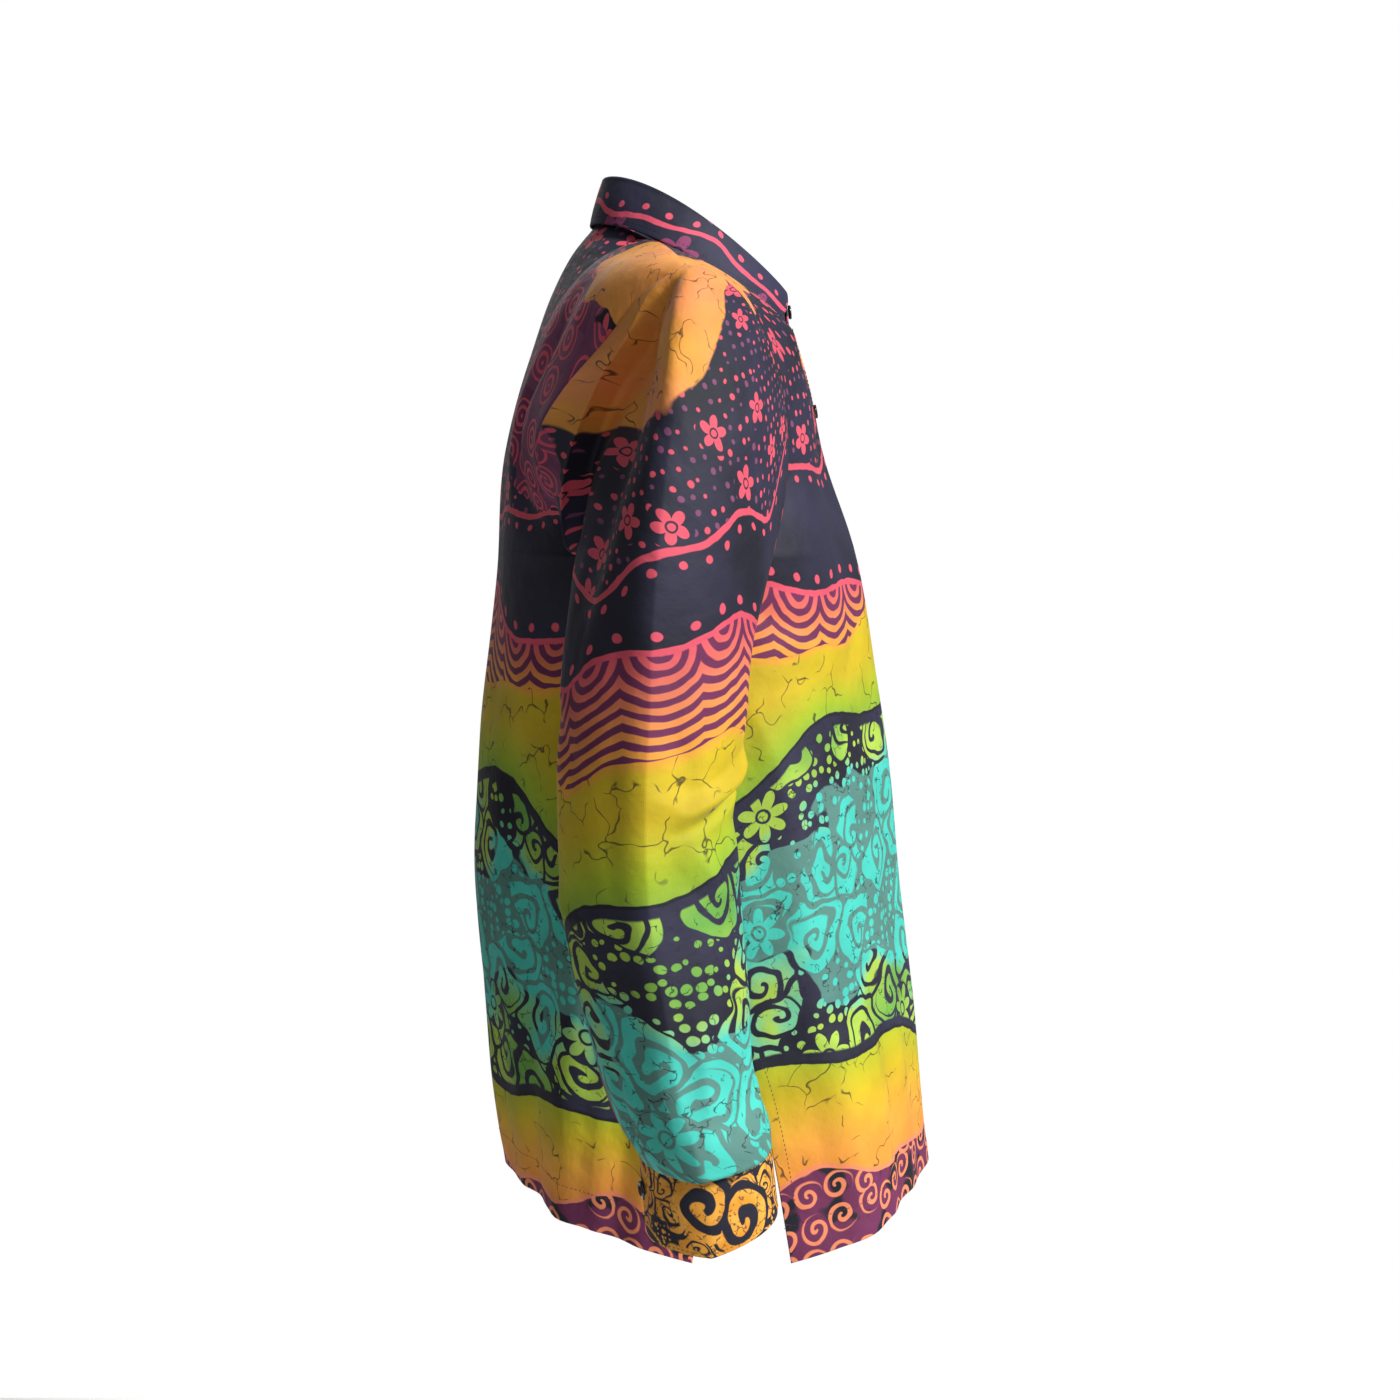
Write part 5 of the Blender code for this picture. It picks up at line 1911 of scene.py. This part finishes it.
def along_column(points: Array, flat: Array, inset: float, low: float, high: float) -> Array:
    """A line on the cloth at an even distance from its last column.

    Args:
        points: The cloth's grid.
        flat: Its flat places.
        inset: The distance, in metres.
        low: The lowest v that it covers, at the last column.
        high: The highest v that it covers.

    Returns:
        The line's points, one a row.
    """
    rows = (flat[:, -1, 1] >= low) & (flat[:, -1, 1] <= high)
    u = flat[rows, :, 0]
    return line_on(points[rows], u, u[:, -1] - inset)


def growing_tree(name: str, source: str, sizes: dict[str, float],
                 grown: str) -> tuple[NodeTree, Node]:
    """Start a Geometry Nodes tree with named inputs.

    Args:
        name: The tree's name.
        source: The name of the geometry that it grows on.
        sizes: Its inputs and their values.
        grown: The name of what it makes.

    Returns:
        The tree and its input node.
    """
    tree = bpy.data.node_groups.new(name, "GeometryNodeTree")
    ports = tree.interface
    ports.new_socket(source, in_out="INPUT", socket_type="NodeSocketGeometry")
    for label, value in sizes.items():
        ports.new_socket(label, in_out="INPUT", socket_type="NodeSocketFloat").default_value = value
    ports.new_socket(grown, in_out="OUTPUT", socket_type="NodeSocketGeometry")
    return tree, add(tree, "NodeGroupInput", output=None)


def set_along(tree: NodeTree, finish: Material, points: Socket, shape: Socket,
              toward: Socket, scale: Socket | None = None) -> None:
    """End a tree with one shape at each point, made real and finished.

    Args:
        tree: The tree.
        finish: The shapes' material.
        points: Where they go.
        shape: The shape, its axis along Z.
        toward: The way that each one's axis points.
        scale: Their size, where it isn't 1.
    """
    turned = add(tree, "FunctionNodeAlignRotationToVector", named={"Vector": toward}, axis="Z")
    laid = add(tree, "GeometryNodeInstanceOnPoints",
               named={"Points": points, "Instance": shape, "Rotation": turned, "Scale": scale})
    real = add(tree, "GeometryNodeRealizeInstances", named={"Geometry": laid})
    done = add(tree, "GeometryNodeSetMaterial", named={"Geometry": real, "Material": finish})
    add(tree, "NodeGroupOutput", (done,), output=None)


def grown_mesh(name: str, data: ID, tree: NodeTree) -> Mesh:
    """Grow a tree's geometry as a plain mesh.

    Args:
        name: The mesh's name.
        data: The curve or the points that it grows on.
        tree: The tree.

    Returns:
        The mesh.
    """
    carrier = linked(name + "_carrier", data)
    carrier.modifiers.new(tree.name, "NODES").node_group = tree
    return evaluated_mesh(carrier, name)


@dataclass
class Stitching:
    """Lockstitch: short threads with a small gap between them, half sunk in the cloth."""

    length: float = 0.0023
    gap: float = 0.0011
    radius: float = 0.00026

    def tree(self, thread: Material) -> NodeTree:
        """Geometry nodes that lay stitches along a path.

        Args:
            thread: The thread's material.

        Returns:
            The tree, with inputs for the stitch's sizes.
        """
        tree, source = growing_tree(
            "stitch_row", "Path", {"Stitch length": self.length, "Gap": self.gap,
                                   "Thread radius": self.radius}, "Stitches")
        length, gap, radius = (source.outputs[name]
                               for name in ("Stitch length", "Gap", "Thread radius"))
        step = add(tree, PLUS, (length, gap))
        spaced = add(tree, "GeometryNodeResampleCurve",
                     named={"Curve": source.outputs["Path"], "Length": step}, mode="LENGTH")
        bead = add(tree, "GeometryNodeMeshUVSphere",
                   named={"Segments": 5, "Rings": 4, "Radius": 1.0})
        half = add(tree, TIMES, (length, 0.5))
        size = add(tree, XYZ, (radius, radius, half))
        shaped = add(tree, "GeometryNodeTransform", named={"Geometry": bead, "Scale": size})
        smooth = add(tree, "GeometryNodeSetShadeSmooth", named={"Geometry": shaped})
        set_along(tree, thread, spaced, smooth, add(tree, "GeometryNodeInputTangent"))
        return tree

    def build(self, name: str, paths: list[Array], thread: Material,
              slot: Slot) -> Object:
        """Sew along paths.

        Args:
            name: The piece's name.
            paths: Lines of points on the cloth's outer face.
            thread: The thread's material.
            slot: The record's slot of the cloth that it is in.

        Returns:
            The stitches, as one piece.
        """
        curve = bpy.data.curves.new(name + "_path", "CURVE")
        curve.dimensions = "3D"
        for path in paths:
            spline = curve.splines.new("POLY")
            spline.points.add(len(path) - 1)
            flat = np.concatenate([path, np.ones((len(path), 1))], axis=1)
            spline.points.foreach_set("co", flat.astype(np.float32).ravel())
        mesh = grown_mesh(name, curve, self.tree(thread))
        LOG.info("%s: %d faces", name, len(mesh.polygons))
        return place(mesh, thread, slot)


def evaluated_mesh(carrier: Object, name: str) -> Mesh:
    """Turn an object's evaluated geometry into a plain mesh and remove the object.

    Args:
        carrier: The object, with its modifiers.
        name: The mesh's name.

    Returns:
        The mesh.
    """
    graph = bpy.context.evaluated_depsgraph_get()
    graph.update()
    mesh = bpy.data.meshes.new_from_object(carrier.evaluated_get(graph), depsgraph=graph)
    mesh.name = name
    bpy.data.objects.remove(carrier)
    return mesh


def frozen(body: bmesh.types.BMesh, name: str, smooth: bool = True) -> Mesh:
    """Turn an edited mesh into a plain one.

    Args:
        body: The edited mesh, which is freed.
        name: The plain mesh's name.
        smooth: Whether its faces are shaded smooth.

    Returns:
        The plain mesh.
    """
    mesh = bpy.data.meshes.new(name)
    body.to_mesh(mesh)
    body.free()
    if smooth:
        mesh.shade_smooth()
    return mesh


@dataclass
class Buttons:
    """Four-hole shirt buttons with a raised rim, and the thread that holds each."""

    radius: float = 0.0056
    thickness: float = 0.0024
    hole_radius: float = 0.00075
    hole_offset: float = 0.00125
    seat: float = 0.0003

    def disc(self) -> Object:
        """One button, its axis along Z and its back at the origin."""
        h, r = self.thickness, self.radius
        profile = ((0.0, 0.52 * h), (0.46 * r, 0.52 * h), (0.58 * r, 0.62 * h),
                   (0.70 * r, 0.90 * h), (0.80 * r, h), (0.90 * r, 0.96 * h),
                   (0.97 * r, 0.80 * h), (r, 0.55 * h),
                   (0.97 * r, 0.28 * h), (0.85 * r, 0.06 * h), (0.60 * r, 0.0), (0.0, 0.0))
        body = bmesh.new()
        ring = [body.verts.new((x, 0.0, z)) for x, z in profile]
        edges = [body.edges.new(pair) for pair in zip(ring, ring[1:])]
        bmesh.ops.spin(body, geom=ring + edges, axis=(0, 0, 1), cent=(0, 0, 0), steps=40,
                       angle=math.tau, use_duplicate=False)
        bmesh.ops.remove_doubles(body, verts=body.verts, dist=0.00001)
        bmesh.ops.recalc_face_normals(body, faces=body.faces)
        disc = linked("button_disc", frozen(body, "button_disc"))
        drills = bmesh.new()
        for x in (-self.hole_offset, self.hole_offset):
            for y in (-self.hole_offset, self.hole_offset):
                made = bmesh.ops.create_cone(drills, cap_ends=True, segments=12,
                                             radius1=self.hole_radius, radius2=self.hole_radius,
                                             depth=self.thickness * 3.0)
                bmesh.ops.translate(drills, verts=made["verts"], vec=(x, y, 0.0))
        cutter = linked("button_drills", frozen(drills, "button_drills", smooth=False))
        holes = disc.modifiers.new("holes", "BOOLEAN")
        holes.object = cutter
        holes.operation = "DIFFERENCE"
        mesh = evaluated_mesh(disc, "button_holed")
        bpy.data.objects.remove(cutter)
        mesh.set_sharp_from_angle(angle=math.radians(50.0))
        return bpy.data.objects.new("button_holed", mesh)

    def knot(self) -> Object:
        """The two thread bars across one button's holes."""
        bars = bmesh.new()
        for y in (-self.hole_offset, self.hole_offset):
            for lift in (0.0, 0.00022):
                made = bmesh.ops.create_uvsphere(bars, u_segments=8, v_segments=6, radius=1.0)
                bmesh.ops.scale(bars, verts=made["verts"],
                                vec=(self.hole_offset * 1.25, 0.00030, 0.00030))
                bmesh.ops.translate(bars, verts=made["verts"],
                                    vec=(0.0, y + lift, self.thickness * 0.56 + lift * 0.5))
        return bpy.data.objects.new("button_knot", frozen(bars, "button_knot"))

    @staticmethod
    def tree(instance: Object, finish: Material) -> NodeTree:
        """Geometry nodes that set one shape at each point, turned to its facing.

        Args:
            instance: The shape, its axis along Z.
            finish: Its material.

        Returns:
            The tree.
        """
        tree, source = growing_tree("button_row", "Places", {"Size": 1.0}, "Buttons")
        shape = add(tree, "GeometryNodeObjectInfo", named={"Object": instance}, output="Geometry")
        facing = add(tree, "GeometryNodeInputNamedAttribute", named={"Name": "facing"},
                     data_type="FLOAT_VECTOR")
        set_along(tree, finish, source.outputs["Places"], shape, facing, source.outputs["Size"])
        return tree

    def build(self, name: str, places: list[tuple[Array, Array]], replaced: tuple,
              resin: Material, thread: Material) -> list[Object]:
        """Buttons at places, and their threads.

        Args:
            name: The piece's name.
            places: A spot and a facing for each button.
            replaced: The solids that they stand for.
            resin: The buttons' material.
            thread: The thread's material.

        Returns:
            The buttons and the threads.
        """
        made = []
        for suffix, shape, finish, stands in (("", self.disc(), resin, replaced),
                                              ("_thread", self.knot(), thread, ())):
            spots = bpy.data.meshes.new(name + suffix + "_places")
            seats = [Vector(spot) + Vector(facing) * self.seat for spot, facing in places]
            spots.from_pydata(seats, [], [])
            facings = spots.attributes.new("facing", "FLOAT_VECTOR", "POINT")
            facings.data.foreach_set("vector", np.array([f for _, f in places], np.float32).ravel())
            mesh = grown_mesh(name + suffix, spots, self.tree(shape, finish))
            LOG.info("%s: %d faces", mesh.name, len(mesh.polygons))
            made.append(place(mesh, finish, Slot.BUTTON, stands))
        return made


@dataclass
class SleeveBinding:
    """The narrow bound edge of a sleeve's opening, up its back from the cuff."""

    sleeve: Sleeve
    width: float = 0.0070
    length: float = 0.085
    wall: float = 0.0009
    clear: float = 0.0002
    around: float = 0.262      # of the sleeve, from the underarm seam
    across: tuple = (-0.5, -0.44, -0.25, 0.0, 0.25, 0.44, 0.5)

    def build(self, side: Side, finish: Material) -> Object:
        """Make one binding, laid on its sleeve.

        Args:
            side: The wearer's side.
            finish: The material.

        Returns:
            The piece.
        """
        points, flat = self.sleeve.points(side)
        rows = flat[:, 0, 1] >= flat[-1, 0, 1] - self.length
        u, lines = flat[rows, :, 0], []
        for share in self.across:
            at = np.full(len(u), self.around * flat[-1, -1, 0] + share * self.width)
            lift = self.wall * (1.0 - 0.5 * abs(2.0 * share) ** 4) + self.clear
            lines.append(line_on(points[rows], u, at)
                         + line_on(outward(points)[rows], u, at) * lift)
        grid = np.stack(lines, axis=1)
        grid, places = on_side(grid, unrolled(grid), side)
        return cut_cloth(f"sleeve_opening_binding_{side.name.lower()}", grid, places, finish,
                         Slot.CONTRAST, (), self.wall)


# ---------------------------------------------------------------- studio


@dataclass
class Studio:
    """A pale floor, soft light from the wearer's front and a camera level with the chest."""

    camera_place: tuple = (-1.75, -0.008, -0.194)
    pitch: float = 84.84
    heading: float = -90.0
    sensor_mm: float = 36.0
    focal_pixels: float = 2214.0
    frame_pixels: float = 1400.0
    floor_z: float = -1.30
    floor_half_width: float = 0.9
    floor_colour: str = "#fafafa"
    floor_roughness: float = 0.9
    ambient: float = 0.15
    suns: tuple = (("key", (-0.44, -0.70, 0.56), 4.2, 14.0),
                   ("fill", (-0.75, -0.50, 0.45), 0.6, 90.0),
                   ("rear", (0.90, 0.15, 0.40), 0.8, 40.0))

    def build(self) -> None:
        """Put the floor, the lights and the camera in the scene."""
        scene = bpy.context.scene
        scene.view_settings.view_transform = "Standard"
        world = bpy.data.worlds.new("studio")
        world.use_nodes = True
        sky = world.node_tree.nodes["Background"]
        sky.inputs["Color"].default_value = (1.0, 1.0, 1.0, 1.0)
        seen = add(world.node_tree, "ShaderNodeLightPath", output="Is Camera Ray")
        glow = add(world.node_tree, RANGE, (seen, 0.0, 1.0, self.ambient, 1.0))
        world.node_tree.links.new(glow, sky.inputs["Strength"])
        scene.world = world
        mesh = bpy.data.meshes.new("studio_floor")
        half = self.floor_half_width
        mesh.from_pydata([(x, y, self.floor_z) for x, y in
                          ((-half, -half), (half, -half), (half, half), (-half, half))],
                         [], [(0, 1, 2, 3)])
        paint = new_material("matt_white_floor")
        fill(paint.node_tree, paint.node_tree.nodes[SHADER],
             {"Base Color": linear(self.floor_colour), "Roughness": self.floor_roughness})
        mesh.materials.append(paint)
        linked("studio_floor", mesh)
        for name, toward, strength, softness in self.suns:
            light = bpy.data.lights.new(name, "SUN")
            light.energy = strength
            light.angle = math.radians(softness)
            turned = (-Vector(toward)).to_track_quat("-Z", "Y")
            linked(name, light).rotation_euler = turned.to_euler()
        camera = bpy.data.cameras.new("camera")
        camera.sensor_width = self.sensor_mm
        camera.lens = self.sensor_mm * self.focal_pixels / self.frame_pixels
        eye = linked("camera", camera)
        eye.location = self.camera_place
        eye.rotation_euler = (math.radians(self.pitch), 0.0, math.radians(self.heading))
        scene.camera = eye


# ---------------------------------------------------------------- the shirt


BACK_LAYOUT = Layout(
    glow=(((-0.185, 0.735), (0.075, 0.050), 0.25), ((0.190, 0.740), (0.070, 0.050), 0.25)),
    plum=((-0.150, 0.610), (0.085, 0.095)),
    line=Wave(0.515, 0.014, 0.26, 0.4), fans_top=Wave(0.432, 0.014, 0.31, 2.0),
    band_top=Wave(0.386, 0.010, 0.24, 1.1), band_bottom=Wave(0.292, 0.020, 0.36, 3.0),
    foot_top=Wave(0.092, 0.022, 0.40, 0.6), foot_bottom=Wave(0.016, 0.011, 0.22, 1.9))

FRONT_LAYOUT = Layout(
    glow=(((-0.175, 0.715), (0.070, 0.045), 0.25), ((0.180, 0.710), (0.075, 0.050), 0.25)),
    plum=((0.165, 0.610), (0.060, 0.060)),
    line=Wave(0.560, 0.014, 0.28, 1.2), fans_top=Wave(0.466, 0.013, 0.30, 0.2),
    band_top=Wave(0.428, 0.009, 0.22, 2.6), band_bottom=Wave(0.352, 0.018, 0.34, 4.0),
    foot_top=Wave(0.120, 0.020, 0.38, 5.2), foot_bottom=Wave(0.044, 0.013, 0.26, 0.9))

SLEEVE_LAYOUT = Layout(
    glow=(((0.222, 0.592), (0.112, 0.108), 0.10),),
    plum=((0.075, 0.520), (0.055, 0.070)),
    line=Wave(0.395, 0.013, 0.21, 0.5), fans_top=Wave(0.335, 0.013, 0.24, 2.2),
    band_top=Wave(0.266, 0.010, 0.19, 1.0), band_bottom=Wave(0.168, 0.020, 0.30, 3.6),
    foot_top=Wave(-0.12, 0.010, 0.30), foot_bottom=Wave(-0.20, 0.010, 0.30))


@dataclass
class BatikShirt:
    """The whole shirt, from its panels to its buttons."""

    form: ShirtForm = field(default_factory=ShirtForm)
    front_buttons: int = 6
    first_button_z: float = -0.125
    last_button_z: float = -0.590
    hem_depth: float = 0.026
    vent_height: float = 0.155
    vent_inset: float = 0.010
    leaf_inset: float = 0.0050
    band_stitch_x: float = 0.0145
    cuff_inset: float = 0.0028

    def sewing(self, panels: BodyPanels, collar: Collar, band: FrontBand,
               cuff: Cuff) -> tuple[list[Array], list[Array]]:
        """The lines of stitching that show: hem, vents, collar, band and cuffs.

        Args:
            panels: The body's panels.
            collar: The collar.
            band: The front band.
            cuff: The cuffs.

        Returns:
            The lines on printed cloth, and those on contrast cloth.
        """
        printed, contrast = [], []
        for side in Side:
            for front in (True, False):
                points, flat = panels.half(front, side)
                start = 6 if front else 0      # a front's first columns are under the band
                lines = [along_row(points[:, start:], flat[:, start:], self.hem_depth),
                         along_column(points, flat, self.vent_inset, self.hem_depth,
                                      self.vent_height)]
                printed += [line * (MIRROR if side is Side.RIGHT else 1.0) for line in lines]
        leaf = collar.leaf_points()
        printed.append(along_row(leaf, unrolled(leaf), self.leaf_inset, from_top=True)[3:-3])
        rows = band.points()
        for x in (-self.band_stitch_x, self.band_stitch_x):
            column = int(np.argmin(np.abs(rows[0, :, 0] - x)))
            contrast.append(rows[:, column])
        wrist = cuff.points()
        for from_top in (False, True):
            line = along_row(wrist, unrolled(wrist), self.cuff_inset, from_top)[2:-2]
            contrast += [line, line * MIRROR]
        return printed, contrast

    def build(self) -> None:
        """Make every piece."""
        back_print = BatikPrint("batik_cotton_back", BACK_LAYOUT).build()
        front_print = BatikPrint("batik_cotton_front", FRONT_LAYOUT).build()
        sleeve_print = BatikPrint("batik_cotton_sleeve", SLEEVE_LAYOUT).build()
        collar_print = CollarPrint().build()
        contrast = ContrastPrint().build()
        bound = PlainDyedCotton("dyed_cotton_binding", "#d8606a", "#a8475e").build()
        plum_thread = SpunThread("spun_thread_plum", "#4a3048").build()
        brown_thread = SpunThread("spun_thread_brown", "#5a3d22").build()
        resin = CastResin().build()
        panels, sleeve = BodyPanels(self.form), Sleeve(self.form)
        cuff, collar, band = Cuff(), Collar(self.form), FrontBand(self.form)
        for side in Side:
            panels.front(side, front_print)
            sleeve.build(side, sleeve_print, SleeveBinding(sleeve).build(side, bound))
            cuff.build(side, contrast)
        panels.back(back_print)
        collar.build(collar_print)
        band.build(contrast)
        printed, doubled = self.sewing(panels, collar, band, cuff)
        stitching = Stitching()
        stitching.build("stitches_printed_cloth", printed, plum_thread, Slot.BATIK)
        stitching.build("stitches_contrast_cloth", doubled, brown_thread, Slot.CONTRAST)
        buttons = Buttons()
        places = band.button_places(self.front_buttons, self.first_button_z, self.last_button_z,
                                    buttons.radius)
        low = self.form.neck.at(180.0)[0]
        rise = collar.fold.at(np.array([180.0]))[0] - low
        facing = np.array([0.0, -rise[2], rise[1]])
        places.append((low + rise / 2.0, unit(facing)))
        front_nodes = tuple(f"button_front_{i}" for i in range(1, self.front_buttons + 1))
        buttons.build("buttons_front", places, (*front_nodes, "button_neck"), resin, brown_thread)
        spot, facing = cuff.button_place()
        for side in Side:
            flip = np.array([side.value, 1.0, 1.0])
            name = side.name.lower()
            buttons.build(f"button_cuff_holed_{name}", [(spot * flip, facing * flip)],
                          (f"button_cuff_{name}",), resin, brown_thread)


def main() -> None:
    """Load the frame, dress it and set up the studio."""
    logging.basicConfig(level=logging.INFO, format="%(name)s: %(message)s")
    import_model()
    BatikShirt().build()
    Studio().build()


if __name__ == "__main__":
    main()
